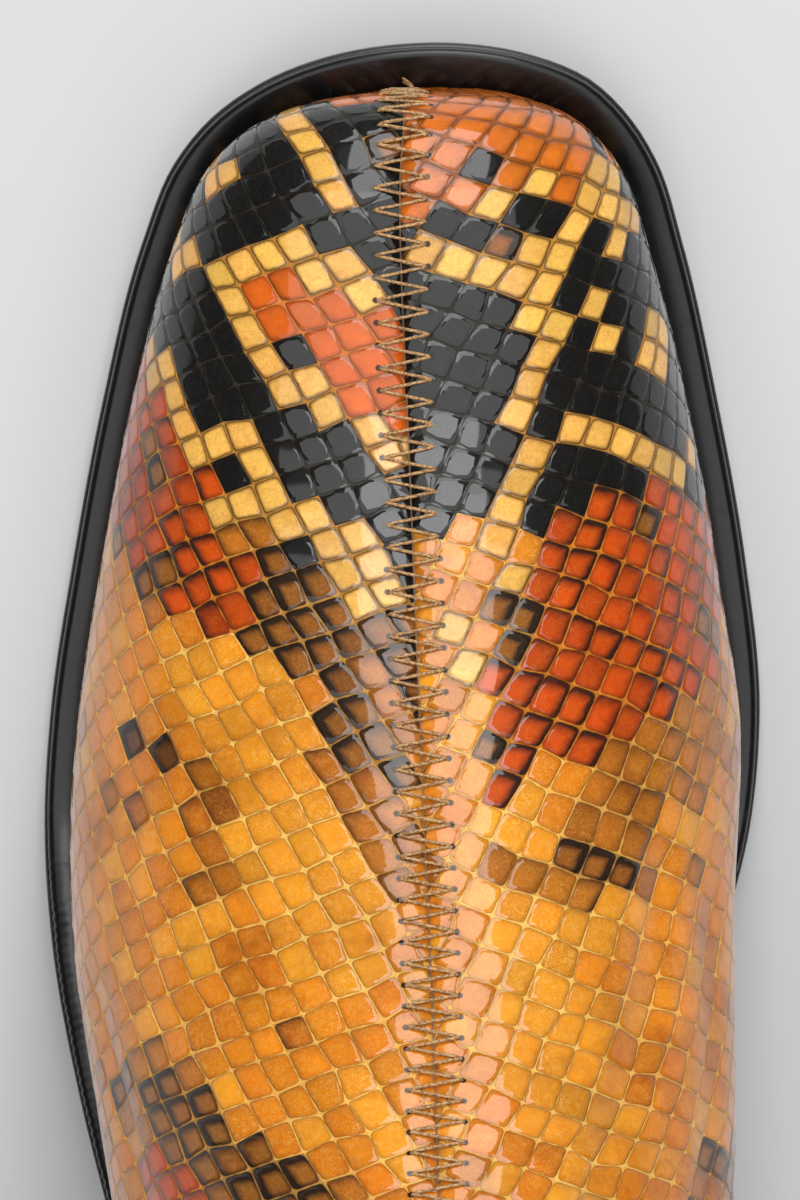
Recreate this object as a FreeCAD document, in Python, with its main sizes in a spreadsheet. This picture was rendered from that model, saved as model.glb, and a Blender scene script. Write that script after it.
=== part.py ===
"""Cowboy boot for the left foot, welted, with a stacked heel and two pull straps.

Frame, in millimetres: the toe points to -Y, the outer (lateral) side is +X, +Z is up.  The origin is
on the ground under the middle of the outsole.  The upper is a closed wall.  A point of it is given by
  side      +1 lateral, -1 medial,
  station   0 at the toe, 12 on the line from the throat to the back of the heel, 18 at the ears,
  around    0 on the front seam, 1 at the feather line (up to station 12) or on the back seam,
  depth     distance inside the leather's outer face.
"""
import FreeCAD, Part
import math
import os
from FreeCAD import Vector

LATERAL = 1
MEDIAL = -1

document = FreeCAD.newDocument("cowboy_boot")
sheet = document.addObject("Spreadsheet::Sheet", "dims")

DIMENSIONS = (
    ("boot_length", 280, "outsole, toe to heel"),
    ("ball_width", 100, "outsole, widest place"),
    ("outsole_thickness", 5, "leather outsole"),
    ("welt_thickness", 3, "welt, rand, rib and filler"),
    ("insole_thickness", 2.5, "insole"),
    ("sock_thickness", 2, "padded sock lining"),
    ("seat_gap", 0.1, "upper's lower edge over the welt"),
    ("toe_rim", 5.7, "welt seen past the upper at the toe"),
    ("side_rim", 5.5, "welt seen past the upper at the ball"),
    ("heel_rim", 3.5, "rand seen past the upper at the heel"),
    ("welt_reach", 6, "welt inside the feather line"),
    ("rib_width", 2.5, "sewing rib of the insole"),
    ("insole_inset", 4.2, "insole edge inside the feather line"),
    ("sock_inset", 4.8, "sock lining edge inside the feather line"),
    ("leather_thickness", 1.5, "upper leather"),
    ("stiffener_thickness", 0.8, "puff, counter and stay tapes"),
    ("lining_thickness", 1, "lining leather"),
    ("layer_gap", 0.1, "glue line between layers of the upper"),
    ("counter_thickness", 0.6, "heel counter, skived"),
    ("sole_play", 0.03, "glue line on top of each layer of the sole"),
    ("seam_gap", 0.1, "half of the gap between the panels"),
    ("breast_line", 68, "y of the heel breast at the outsole"),
    ("heel_centre_x", -4.6, "middle of the heel seat"),
    ("heel_centre_y", 110, "middle of the heel seat"),
    ("heel_radius", 29.5, "heel seat, top"),
    ("heel_radius_ground", 26, "heel cap, bottom"),
    ("heel_undercut", 8, "heel centre moves forward by this at the ground"),
    ("breast_undercut", 3, "breast moves back by this at the ground"),
    ("breast_hollow", 3, "depth of the breast's curve"),
    ("cap_thickness", 6, "rubber heel cap"),
    ("lift_thickness", 5.2, "one stacked lift"),
    ("nail_radius", 1.1, "heel nail"),
    ("nail_hole_radius", 1.2, "hole of a heel nail"),
    ("shank_width", 14, "steel shank"),
    ("shank_length", 95, "steel shank"),
    ("shank_start", -12, "y of the shank's front end"),
    ("shank_gap", 0.2, "room round the shank in the filler"),
    ("strap_width", 24, "pull strap"),
    ("strap_thickness", 2, "pull strap"),
    ("strap_leg_drop", 56, "length of the sewn outer leg"),
    ("loop_base", 321, "z of the free loop's ends"),
    ("loop_top", 341, "z of the free loop's top"),
    ("loop_radius", 7.5, "outside radius of the loop's top"),
    ("collar_height", 2.6, "top binding"),
    ("strip_width", 13, "back strip"),
    ("tape_width", 14, "stay tapes"),
)
for row, (alias, value, meaning) in enumerate(DIMENSIONS, start=1):
    sheet.set(f"A{row}", meaning)
    sheet.set(f"B{row}", str(value))
    sheet.setAlias(f"B{row}", alias)
document.recompute()


def dim(alias):
    """A driving dimension, read from the sheet."""
    return float(sheet.get(alias))


class Spline:
    """A smooth curve through points of any dimension, as a function of one parameter.

    The parameter of each point is given in knots, or is the distance along the chords.
    """

    def __init__(self, points, knots=None, closed=False):
        self.points = [tuple(map(float, point)) for point in points]
        self.closed = closed
        if closed:
            self.points.append(self.points[0])
        if knots is None:
            knots = [0.0]
            for before, after in zip(self.points, self.points[1:]):
                knots.append(knots[-1] + math.dist(before, after))
        self.knots = [float(knot) for knot in knots]
        self.length = self.knots[-1] - self.knots[0]
        self.slopes = [self.slope(i) for i in range(len(self.points))]

    def chord(self, i):
        span = self.knots[i + 1] - self.knots[i]
        return span, [(b - a) / span for a, b in zip(self.points[i], self.points[i + 1])]

    def slope(self, i):
        last = len(self.points) - 1
        if self.closed and i in (0, last):
            before, after = last - 1, 0
        elif i == 0:
            return self.chord(0)[1]
        elif i == last:
            return self.chord(last - 1)[1]
        else:
            before, after = i - 1, i
        h0, d0 = self.chord(before)
        h1, d1 = self.chord(after)
        return [(a * h1 + b * h0) / (h0 + h1) for a, b in zip(d0, d1)]

    def __call__(self, parameter):
        if self.closed:
            parameter = parameter % self.length
        i = 0
        while i < len(self.knots) - 2 and parameter > self.knots[i + 1]:
            i += 1
        span = self.knots[i + 1] - self.knots[i]
        f = (parameter - self.knots[i]) / span
        if f < 0 or f > 1:
            end = i if f < 0 else i + 1
            run = parameter - self.knots[end]
            return [p + m * run for p, m in zip(self.points[end], self.slopes[end])]
        weights = (2 * f**3 - 3 * f**2 + 1, (f**3 - 2 * f**2 + f) * span,
                   3 * f**2 - 2 * f**3, (f**3 - f**2) * span)
        corners = (self.points[i], self.slopes[i], self.points[i + 1], self.slopes[i + 1])
        return [sum(w * c for w, c in zip(weights, column)) for column in zip(*corners)]


# ---------------------------------------------------------------- the lines that shape the boot

# Underside of the outsole in side view (y, z): toe spring, tread, waist, heel seat.
TREAD = Spline([(14, ), (6.5, ), (1.2, ), (0, ), (1.5, ), (16, ), (33, ), (37.4, ), (38.7, ), (39, )],
               knots=[-140, -115, -85, -60, -35, 0, 40, 60, 80, 140])

# Outline of the outsole (x, y): from the seam at the toe, round the lateral side to the back of the
# heel, and back along the medial side.
LATERAL_OUTLINE = [(0.3, -139.8), (10.5, -138), (19, -134.6), (26.5, -129.2), (31, -123.6),
                   (35.6, -112.6), (41.4, -90.5), (45.8, -68), (49.2, -46), (50, -31), (48.8, -16),
                   (44.7, 3.6), (38.4, 25), (31.6, 46), (26.6, 68), (25, 90), (24.9, 110),
                   (20.9, 124.8), (10.2, 135.5)]
MEDIAL_OUTLINE = [(-19.4, 135.5), (-30.1, 124.8), (-34.1, 110), (-33.6, 90), (-31.8, 68),
                  (-30.2, 46), (-32.6, 25), (-38.6, 3.6), (-44.6, -16), (-48.7, -31), (-50, -46),
                  (-47.8, -68), (-43.6, -90.5), (-38.4, -112.6), (-34.8, -123.6),
                  (-31.4, -129.2), (-25.9, -134.7), (-16.5, -138.6), (-8, -139.9)]
HEEL_BACK = (dim("heel_centre_x"), 140)
OUTLINE = Spline(LATERAL_OUTLINE + [HEEL_BACK] + MEDIAL_OUTLINE, closed=True)
LATERAL_LENGTH = OUTLINE.knots[len(LATERAL_OUTLINE)]
MEDIAL_LENGTH = OUTLINE.length - LATERAL_LENGTH

# Width of the welt's rim outside the feather line, against y.
RIM = Spline([(dim("toe_rim"), ), (dim("side_rim"), ), (dim("side_rim"), ), (dim("heel_rim"), )],
             knots=[-140, -105, 10, 80])


def tread_height(y):
    return TREAD(y)[0]


def inset_outline(distance, inset, follow_rim=False):
    """The outsole's outline at a distance along it, moved inwards; follow_rim adds the rim."""
    x, y = OUTLINE(distance)
    ahead = OUTLINE(distance + 0.5)
    behind = OUTLINE(distance - 0.5)
    tangent = Vector(ahead[0] - behind[0], ahead[1] - behind[1], 0).normalize()
    if follow_rim:
        inset += RIM(y)[0]
    return Vector(x - tangent.y * inset, y + tangent.x * inset, 0)


SEAT_HEIGHT = dim("outsole_thickness") + dim("welt_thickness")
FEATHER_HEIGHT = SEAT_HEIGHT + dim("seat_gap")
HEEL_STATION = 12
TOP_STATION = 18


def feather(side, share, depth):
    """The upper's lower edge: share 0 at the toe, 1 at the back of the heel."""
    distance = share * LATERAL_LENGTH
    if side == MEDIAL:
        distance = OUTLINE.length - share * MEDIAL_LENGTH
    point = inset_outline(distance, depth, follow_rim=True)
    point.z = tread_height(point.y) + FEATHER_HEIGHT
    return point


TOE = feather(LATERAL, 0, 0)

# One row per station: front seam (x, y, z), angle whose sine is the share of the feather line, half
# widths lateral and medial that the foot or leg needs there, and the roundness of the section
# (1 ellipse, less is boxier).
STATIONS = Spline([
    (TOE.x, TOE.y, TOE.z + 6, 0, 0, 0, 0.78),
    (TOE.x, TOE.y + 0.8, TOE.z + 14, 2.6, 0, 0, 0.78),
    (TOE.x, TOE.y + 4.2, TOE.z + 20, 5.2, 0, 0, 0.78),
    (0.3, -122.5, 43.4, 7.5, 0, 0, 0.78),
    (0.1, -110, 45.4, 10.1, 0, 0, 0.8),
    (-0.8, -90, 49, 14.5, 0, 0, 0.84),
    (-1.8, -65, 56.5, 19.6, 20, 30, 0.88),
    (-2.9, -40, 67.5, 24.8, 35, 37, 0.93),
    (-4.0, -16, 84.5, 30.7, 38, 39.5, 0.97),
    (-4.6, 4, 103, 36.9, 38.2, 38.2, 1),
    (-4.7, 19, 121, 44.4, 38.8, 38, 1),
    (-4.6, 28, 138, 58, 38.5, 37.6, 1),
    (-4.6, 34, 156, 90, 38, 37.4, 1),
    (-4.5, 37, 176, 124, 38, 37.8, 1),
    (-4.2, 37.5, 198, 124, 39, 39, 1),
    (-3.4, 35.5, 223, 124, 41, 41, 1),
    (-2.2, 30, 252, 124, 43.5, 43.5, 1),
    (-1.0, 22.5, 284, 124, 45.5, 45.5, 1),
    (0, 14, 318, 124, 47, 47, 1)], knots=range(TOP_STATION + 1))


def eased(step):
    """Starts flat and then runs on evenly, so that the wall is smooth over the heel station."""
    return step * step / (step + 3)


# The back seam (y, z) from the heel's feather line to the top.
HEEL_FEATHER = feather(LATERAL, 1, 0)
BACK = Spline([(HEEL_FEATHER.y, HEEL_FEATHER.z), (138.7, 62), (136.6, 96), (130, 145),
               (128.6, 200), (130.5, 256), (134, 312)],
              knots=[eased(step) for step in range(TOP_STATION - HEEL_STATION + 1)])

BULGE = 1.015
MAXIMUM_POWER = 8
STEP = 0.01


def signed_power(value, power):
    return math.copysign(abs(value) ** power, value)


def side_normal(curve, place, columns):
    """Unit vector (y, z) square to a curve of the side view, on its right."""
    before, after = curve(place - STEP), curve(place + STEP)
    dy, dz = (after[c] - before[c] for c in columns)
    return dz / math.hypot(dy, dz), -dy / math.hypot(dy, dz)


def boot_point(side, station, around, depth=0.0, gap=0.0):
    """A point of the upper; the module's first comment explains the arguments."""
    seam_x, front_y, front_z, share_angle, lateral_half, medial_half, power = STATIONS(station)
    ny, nz = side_normal(STATIONS, station, (1, 2))
    front_y += ny * depth
    front_z += nz * depth
    if station <= HEEL_STATION:
        base = feather(side, math.sin(math.radians(share_angle)), depth)
    else:
        climb = eased(station - HEEL_STATION)
        ny, nz = side_normal(BACK, climb, (0, 1))
        back_y, back_z = BACK(climb)
        base = Vector(seam_x, back_y - ny * depth, back_z - nz * depth)
    half_base = max(0.0, side * (base.x - seam_x))
    half_leg = max(0.0, (lateral_half if side == LATERAL else medial_half) - depth)
    half = ((BULGE * half_base) ** MAXIMUM_POWER + half_leg ** MAXIMUM_POWER) ** (1 / MAXIMUM_POWER)
    ratio = half_base / half if half else 1 / BULGE
    sweep = math.pi - math.asin(min(1.0, ratio) ** (1 / power))
    angle = around * sweep
    fall = 1 - signed_power(math.cos(angle), power)
    fall /= 1 - signed_power(math.cos(sweep), power)
    x = seam_x + side * (gap + half * abs(math.sin(angle)) ** power)
    return Vector(x, front_y + (base.y - front_y) * fall, front_z + (base.z - front_z) * fall)


# Dips of the top line, in stations.
FRONT_DIP = 1.1
BACK_DIP = 0.65
DIP_POWER = 2.2


def top_station(around):
    """The scalloped top line: dips at the front and the back, ears at the sides."""
    wave = math.cos(math.pi * around)
    return TOP_STATION - (FRONT_DIP if wave > 0 else BACK_DIP) * abs(wave) ** DIP_POWER


# ---------------------------------------------------------------- walls of the upper

def smooth_poles(points):
    """Control points of the smooth curve through evenly spaced points."""
    last = len(points) - 1
    poles = [points[0]]
    for i, point in enumerate(points):
        if i == 0:
            slope = (points[1] * 4 - points[0] * 3 - points[2]) * 0.5
        elif i == last:
            slope = (points[last] * 3 - points[last - 1] * 4 + points[last - 2]) * 0.5
        else:
            slope = (points[i + 1] - points[i - 1]) * 0.5
        if i > 0:
            poles.append(point - slope * (1 / 3))
        if i < last:
            poles.append(point + slope * (1 / 3))
    return poles + [points[last]]


def smooth_grid(rows):
    """Control points of the smooth surface through a grid of points."""
    rows = [smooth_poles(row) for row in rows]
    columns = [smooth_poles(list(column)) for column in zip(*rows)]
    return [list(row) for row in zip(*columns)]


def spline_face(poles, degree_u=3):
    """The face of a grid of control points made by smooth_grid, or of two of its borders."""
    def knots_of(count, degree):
        spans = count // 2 if degree == 3 else count
        return [degree + 1] + [2] * (spans - 2) + [degree + 1], [float(k) for k in range(spans)]

    mults_u, knots_u = knots_of(len(poles), degree_u)
    mults_v, knots_v = knots_of(len(poles[0]), 3)
    surface = Part.BSplineSurface()
    surface.buildFromPolesMultsKnots(poles, mults_u, mults_v, knots_u, knots_v,
                                     False, False, degree_u, 3)
    return surface.toShape()


class Patch:
    """A four-sided area of the wall.  place(f, g) gives (side, station, around) for f and g from 0
    to 1; rims names the sides that get a closing strip: start and end in f, left and right in g."""

    def __init__(self, place, rows, columns, rims):
        self.place = place
        self.rows = rows
        self.columns = columns
        self.rims = rims

    def poles(self, depth, gap):
        grid = []
        for i in range(self.rows + 1):
            line = []
            for j in range(self.columns + 1):
                side, station, around = self.place(i / self.rows, j / self.columns)
                line.append(boot_point(side, station, around, depth, gap))
            grid.append(line)
        return smooth_grid(grid)

    def faces(self, outer_depth, inner_depth, gap):
        layers = [self.poles(depth, gap) for depth in (outer_depth, inner_depth)]
        borders = {"start": lambda poles: poles[0], "end": lambda poles: poles[-1],
                   "left": lambda poles: [row[0] for row in poles],
                   "right": lambda poles: [row[-1] for row in poles]}
        found = [spline_face(poles) for poles in layers]
        for rim in self.rims:
            found.append(spline_face([borders[rim](poles) for poles in layers], degree_u=1))
        return found


def wall_piece(name, patches, outer_depth, inner_depth, gap=0.0):
    """A sub-part that lies in the wall of the boot, between two depths."""
    faces = [face for patch in patches for face in patch.faces(outer_depth, inner_depth, gap)]
    shell = Part.makeShell(faces)
    shell.sewShape(0.01)
    solid = Part.makeSolid(shell)
    if solid.Volume < 0:
        solid.reverse()
    piece = document.addObject("Part::Feature", name)
    piece.Label = name
    piece.Shape = solid
    piece.Placement = FreeCAD.Placement()
    return piece


def panel_patches(side):
    """A whole half of the upper: foot and shaft, split at the line from throat to heel."""
    def shaft(f, g):
        return side, HEEL_STATION + (top_station(g) - HEEL_STATION) * f, g

    foot_patch = Patch(lambda f, g: (side, HEEL_STATION * f, g), 48, 16, ("start", "left", "right"))
    shaft_patch = Patch(shaft, 24, 16, ("end", "left", "right"))
    return [foot_patch, shaft_patch]


def both_sides(place, half_around):
    """A place across a seam: g runs from the lateral side over the seam to the medial side."""
    def across(f, g):
        side = LATERAL if g < 0.5 else MEDIAL
        return side, place(f), half_around(f) * abs(2 * g - 1)
    return across


leather_depth = dim("leather_thickness")
stiffener_depth = leather_depth + dim("layer_gap")
stiffener_back = stiffener_depth + dim("stiffener_thickness")
lining_depth = stiffener_back + dim("layer_gap")
lining_back = lining_depth + dim("lining_thickness")
SIDES = {"lateral": LATERAL, "medial": MEDIAL}
for side_name, side in SIDES.items():
    wall_piece(f"{side_name}_panel", panel_patches(side), 0, leather_depth, dim("seam_gap"))
    wall_piece(f"{side_name}_lining", panel_patches(side), lining_depth, lining_back,
               dim("seam_gap"))

# The toe puff stiffens the leather over the toe; a notch at the toe seam lets it take the curve.
PUFF_START = 0.3
PUFF_END = 4.6
puff = [Patch(lambda f, g, side=side: (side, PUFF_START + (PUFF_END - PUFF_START) * f, g), 14, 16,
              ("start", "end", "right")) for side in SIDES.values()]
wall_piece("toe_puff", puff, stiffener_depth, stiffener_back)

# The heel counter is a cup round the heel, open at its top and front.
COUNTER_START = 10.6
COUNTER_TOP = 13.6
COUNTER_ROWS = 12


def counter_edge(station):
    return 0.58 + 0.075 * (station - COUNTER_START)


def counter_place(side, first, last):
    def place(f, g):
        station = first + (last - first) * f
        edge = counter_edge(station)
        return side, station, edge + (1 - edge) * g
    return place


counter = []
for side in SIDES.values():
    counter.append(Patch(counter_place(side, COUNTER_START, HEEL_STATION), COUNTER_ROWS, 10,
                         ("start", "left", "right")))
    counter.append(Patch(counter_place(side, HEEL_STATION, COUNTER_TOP), COUNTER_ROWS, 10,
                         ("end", "left")))
wall_piece("heel_counter", counter, stiffener_depth, stiffener_depth + dim("counter_thickness"))


def half_tape(station, width):
    """How far around a strip of this width reaches from its seam, at a station."""
    middle = boot_point(LATERAL, station, 0)
    small = boot_point(LATERAL, station, 0.05)
    return 0.05 * width / 2 / middle.distanceToPoint(small)


TAPE_ROWS = 30
TAPE_COLUMNS = 4
ALL_RIMS = ("start", "end", "left", "right")
tape_start = PUFF_END + 0.15
tape_end = top_station(0) - 0.1
front_tape = Patch(both_sides(lambda f: tape_start + (tape_end - tape_start) * f,
                              lambda f: half_tape(tape_start + (tape_end - tape_start) * f,
                                                  dim("tape_width"))),
                   TAPE_ROWS, TAPE_COLUMNS, ALL_RIMS)
wall_piece("front_stay_tape", [front_tape], stiffener_depth, stiffener_back)


def back_patch(first, last, width):
    """A strip over the back seam between two stations."""
    def across(f, g):
        station = first + (last - first) * f
        half = boot_point(LATERAL, station, 1).distanceToPoint(boot_point(LATERAL, station, 0.95))
        reach = 0.05 * width / 2 / half
        return (LATERAL if g < 0.5 else MEDIAL), station, 1 - reach * abs(2 * g - 1)
    return Patch(across, 20, TAPE_COLUMNS, ALL_RIMS)


back_top = top_station(1) - 0.1
wall_piece("back_stay_tape", [back_patch(COUNTER_TOP + 0.15, back_top, dim("tape_width"))],
           stiffener_depth, stiffener_back)
STRIP_THICKNESS = 1.2
wall_piece("back_strip", [back_patch(HEEL_STATION + 0.1, back_top, dim("strip_width"))],
           -dim("layer_gap") - STRIP_THICKNESS, -dim("layer_gap"))

# The collar bindings finish the raw top edges of leather and lining.
STATION_RISE = 40
collar_first = dim("layer_gap") / STATION_RISE
collar_last = collar_first + dim("collar_height") / STATION_RISE
BINDING_OVERLAP = 0.5
for side_name, side in SIDES.items():
    def binding_place(f, g, side=side):
        return side, top_station(g) + collar_first + (collar_last - collar_first) * f, g
    wall_piece(f"{side_name}_collar_binding", [Patch(binding_place, 2, 24, ALL_RIMS)],
               -BINDING_OVERLAP, lining_back + BINDING_OVERLAP, dim("seam_gap"))

# ---------------------------------------------------------------- pull straps

STRAP_AROUND = 0.5
STRAP_TOP_STATION = top_station(STRAP_AROUND) - 0.1
shaft_rise = boot_point(LATERAL, TOP_STATION, STRAP_AROUND).distanceToPoint(
    boot_point(LATERAL, TOP_STATION - 1, STRAP_AROUND))
leg_drop = dim("strap_leg_drop") / shaft_rise


def strap_leg(name, side, outer_depth, length):
    """A sewn end of a pull strap, on the outside or the inside of the shaft."""
    front = boot_point(side, STRAP_TOP_STATION, STRAP_AROUND - 0.05)
    back = boot_point(side, STRAP_TOP_STATION, STRAP_AROUND + 0.05)
    reach = 0.1 * dim("strap_width") / 2 / front.distanceToPoint(back)

    def place(f, g):
        return side, STRAP_TOP_STATION - length * (1 - f), STRAP_AROUND + reach * (2 * g - 1)
    wall_piece(name, [Patch(place, 6, 4, ALL_RIMS)], outer_depth,
               outer_depth + dim("strap_thickness"))


def origin_plane(body, role):
    return next(item for item in body.Origin.OriginFeatures if item.Role == role)


def attach(body, name, role, offset=None):
    """A sketch of a body on one of its own origin planes; offset is an expression."""
    sketch = body.newObject("Sketcher::SketchObject", name)
    sketch.AttachmentSupport = (origin_plane(body, role), [""])
    sketch.MapMode = "FlatFace"
    if offset:
        sketch.setExpression("AttachmentOffset.Base.z", offset)
    return sketch


def new_body(name):
    body = document.addObject("PartDesign::Body", name)
    body.Label = name
    return body


def strap_loop(name, side):
    """The free loop: two straight legs that spread to a round top, as wide as the strap."""
    outside = boot_point(side, STRAP_TOP_STATION, STRAP_AROUND, -2 * dim("layer_gap"))
    inside = boot_point(side, STRAP_TOP_STATION, STRAP_AROUND, lining_back + 2 * dim("layer_gap"))
    middle_x = (outside.x + inside.x) / 2
    half_gap = abs(outside.x - inside.x) / 2
    thick = dim("strap_thickness")
    base, radius = dim("loop_base"), dim("loop_radius")
    centre_z = dim("loop_top") - radius
    body = new_body(name)
    sketch = attach(body, name + "_section", "XZ_Plane", f"-({outside.y:.4f})")

    def at(x, z):
        return Vector(middle_x + x, z, 0)

    rings = {}
    for ring, half, reach in (("outer", half_gap + thick, radius), ("inner", half_gap, radius - thick)):
        drop = (centre_z - base) / 2
        rings[ring] = (at(-half, base), at(-half, base + drop * 0.4), at(-reach, centre_z),
                       at(0, centre_z + reach), at(reach, centre_z), at(half, base + drop * 0.4),
                       at(half, base))
    for ring in rings.values():
        sketch.addGeometry(Part.LineSegment(ring[0], ring[1]))
        sketch.addGeometry(Part.LineSegment(ring[1], ring[2]))
        sketch.addGeometry(Part.Arc(ring[2], ring[3], ring[4]))
        sketch.addGeometry(Part.LineSegment(ring[4], ring[5]))
        sketch.addGeometry(Part.LineSegment(ring[5], ring[6]))
    sketch.addGeometry(Part.LineSegment(rings["outer"][0], rings["inner"][0]))
    sketch.addGeometry(Part.LineSegment(rings["outer"][6], rings["inner"][6]))
    pad = body.newObject("PartDesign::Pad", name + "_pad")
    pad.Profile = (sketch, [""])
    pad.SideType = "Symmetric"
    pad.setExpression("Length", "dims.strap_width")


for side_name, side in SIDES.items():
    strap_leg(f"{side_name}_strap_outer_leg", side,
              -2 * dim("layer_gap") - dim("strap_thickness"), leg_drop)
    strap_leg(f"{side_name}_strap_inner_leg", side, lining_back + 2 * dim("layer_gap"), leg_drop / 2)
    strap_loop(f"{side_name}_strap_loop", side)

# ---------------------------------------------------------------- sole layers

PROFILE_STEPS = 28
OUTLINE_STEPS = 96
MARGIN = 20


def closed_curve(points):
    curve = Part.BSplineCurve()
    curve.interpolate(points, PeriodicFlag=True)
    return curve


def plan_curve(inset, follow_rim):
    """Closed curve of the sole's plan, inset from the outsole's edge or from the feather line."""
    step = OUTLINE.length / OUTLINE_STEPS
    return closed_curve([inset_outline(i * step, inset, follow_rim) for i in range(OUTLINE_STEPS)])


def sole_layer(name, bottom, thickness, plans, y_range):
    """A layer of the sole: a strip that follows the tread line in side view, trimmed in plan.

    bottom is an expression of the sheet and thickness one of its aliases.  plans holds (inset,
    follow_rim) of the outer edge and, for a ring, of the inner edge.
    """
    first, last = y_range
    body = new_body(name)
    strip = attach(body, name + "_side_view", "YZ_Plane")
    strip.setExpression("AttachmentOffset.Base.y", bottom)
    rise = dim(thickness) - dim("sole_play")
    stations = [first + (last - first) * i / PROFILE_STEPS for i in range(PROFILE_STEPS + 1)]
    ends = []
    for lift in (0, rise):
        points = [Vector(y, tread_height(y) + lift, 0) for y in stations]
        curve = Part.BSplineCurve()
        curve.interpolate(points)
        strip.addGeometry(curve)
        ends.append((points[0], points[-1]))
    for end in (0, 1):
        strip.addGeometry(Part.LineSegment(ends[0][end], ends[1][end]))
    pad = body.newObject("PartDesign::Pad", name + "_strip")
    pad.Profile = (strip, [""])
    pad.SideType = "Symmetric"
    pad.setExpression("Length", f"dims.ball_width + {MARGIN}")
    trim = attach(body, name + "_plan", "XY_Plane")
    reach_x = dim("ball_width") / 2 + MARGIN
    reach_y = dim("boot_length") / 2 + MARGIN
    corners = [Vector(-reach_x, -reach_y, 0), Vector(reach_x, -reach_y, 0),
               Vector(reach_x, reach_y, 0), Vector(-reach_x, reach_y, 0)]
    for start, end in zip(corners, corners[1:] + corners[:1]):
        trim.addGeometry(Part.LineSegment(start, end))
    for inset, follow_rim in plans:
        trim.addGeometry(plan_curve(inset, follow_rim))
    pocket = body.newObject("PartDesign::Pocket", name + "_trim")
    pocket.Profile = (trim, [""])
    pocket.SideType = "Symmetric"
    pocket.Type = "ThroughAll"
    return body


def slot(body, name, x_range, y_range):
    """A rectangular opening through a layer."""
    sketch = attach(body, name, "XY_Plane")
    corners = [Vector(x_range[0], y_range[0], 0), Vector(x_range[1], y_range[0], 0),
               Vector(x_range[1], y_range[1], 0), Vector(x_range[0], y_range[1], 0)]
    for start, end in zip(corners, corners[1:] + corners[:1]):
        sketch.addGeometry(Part.LineSegment(start, end))
    pocket = body.newObject("PartDesign::Pocket", name + "_cut")
    pocket.Profile = (sketch, [""])
    pocket.SideType = "Symmetric"
    pocket.Type = "ThroughAll"


EDGE_STEP = 0.6
ON_OUTSOLE = "dims.outsole_thickness"
ON_SEAT = "dims.outsole_thickness + dims.welt_thickness"
ON_INSOLE = ON_SEAT + " + dims.insole_thickness"
half_length = dim("boot_length") / 2
whole = (-half_length - 1, half_length + 1)
breast = dim("breast_line")
reach = dim("welt_reach")
rib_inner = reach + dim("rib_width")
JOINT_GAP = 0.1
sole_layer("outsole", "0", "outsole_thickness", [(0, False)], whole)
sole_layer("welt", ON_OUTSOLE, "welt_thickness", [(EDGE_STEP, False), (reach, True)],
           (whole[0], breast))
sole_layer("heel_rand", ON_OUTSOLE, "welt_thickness", [(EDGE_STEP, False), (reach, True)],
           (breast + JOINT_GAP, whole[1]))
sole_layer("insole_rib", ON_OUTSOLE, "welt_thickness",
           [(reach + JOINT_GAP, True), (rib_inner, True)], whole)
filler = sole_layer("bottom_filler", ON_OUTSOLE, "welt_thickness",
                    [(rib_inner + JOINT_GAP, True)], whole)
sole_layer("insole", ON_SEAT, "insole_thickness", [(dim("insole_inset"), True)], whole)
sole_layer("sock_lining", ON_INSOLE, "sock_thickness", [(dim("sock_inset"), True)], whole)

shank_x = (dim("heel_centre_x") - dim("shank_width") / 2, dim("heel_centre_x") + dim("shank_width") / 2)
shank_y = (dim("shank_start"), dim("shank_start") + dim("shank_length"))
room = dim("shank_gap")
slot(filler, "shank_slot", (shank_x[0] - room, shank_x[1] + room),
     (shank_y[0] - room, shank_y[1] + room))


def make_shank():
    """The steel spring that carries the waist, lying in the filler's slot."""
    body = new_body("shank")
    sketch = attach(body, "shank_side_view", "YZ_Plane")
    sketch.setExpression("AttachmentOffset.Base.y", ON_OUTSOLE + " + dims.shank_gap")
    stations = [shank_y[0] + (shank_y[1] - shank_y[0]) * i / PROFILE_STEPS
                for i in range(PROFILE_STEPS + 1)]
    ends = []
    for lift in (0, dim("welt_thickness") - 2 * room):
        points = [Vector(y, tread_height(y) + lift, 0) for y in stations]
        curve = Part.BSplineCurve()
        curve.interpolate(points)
        sketch.addGeometry(curve)
        ends.append((points[0], points[-1]))
    for end in (0, 1):
        sketch.addGeometry(Part.LineSegment(ends[0][end], ends[1][end]))
    sketch.setExpression("AttachmentOffset.Base.z", "dims.heel_centre_x")
    pad = body.newObject("PartDesign::Pad", "shank_pad")
    pad.Profile = (sketch, [""])
    pad.SideType = "Symmetric"
    pad.setExpression("Length", "dims.shank_width")


make_shank()

# ---------------------------------------------------------------- stacked heel

LIFTS = 5
heel_top = tread_height(dim("heel_centre_y"))
SEAT_STOCK = 3
NAILS = [(-12, 12), (-18, -4), (-16, -20), (12, 12), (18, -4), (16, -20)]


def heel_outline(sketch, height):
    """The heel's plan at a height: a hollow breast, straight sides and a round back."""
    low = 1 - min(height, heel_top) / heel_top
    radius = dim("heel_radius") - (dim("heel_radius") - dim("heel_radius_ground")) * low
    centre_x = dim("heel_centre_x")
    centre_y = dim("heel_centre_y") - dim("heel_undercut") * low
    front_y = breast + dim("breast_undercut") * low
    left, right = centre_x - radius, centre_x + radius
    front = (Vector(left, front_y, 0), Vector(right, front_y, 0))
    sides = (Vector(left, centre_y, 0), Vector(right, centre_y, 0))
    sketch.addGeometry(Part.Arc(front[0], Vector(centre_x, front_y + dim("breast_hollow"), 0),
                                front[1]))
    sketch.addGeometry(Part.LineSegment(front[1], sides[1]))
    sketch.addGeometry(Part.Arc(sides[1], Vector(centre_x, centre_y + radius, 0), sides[0]))
    sketch.addGeometry(Part.LineSegment(sides[0], front[0]))


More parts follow.
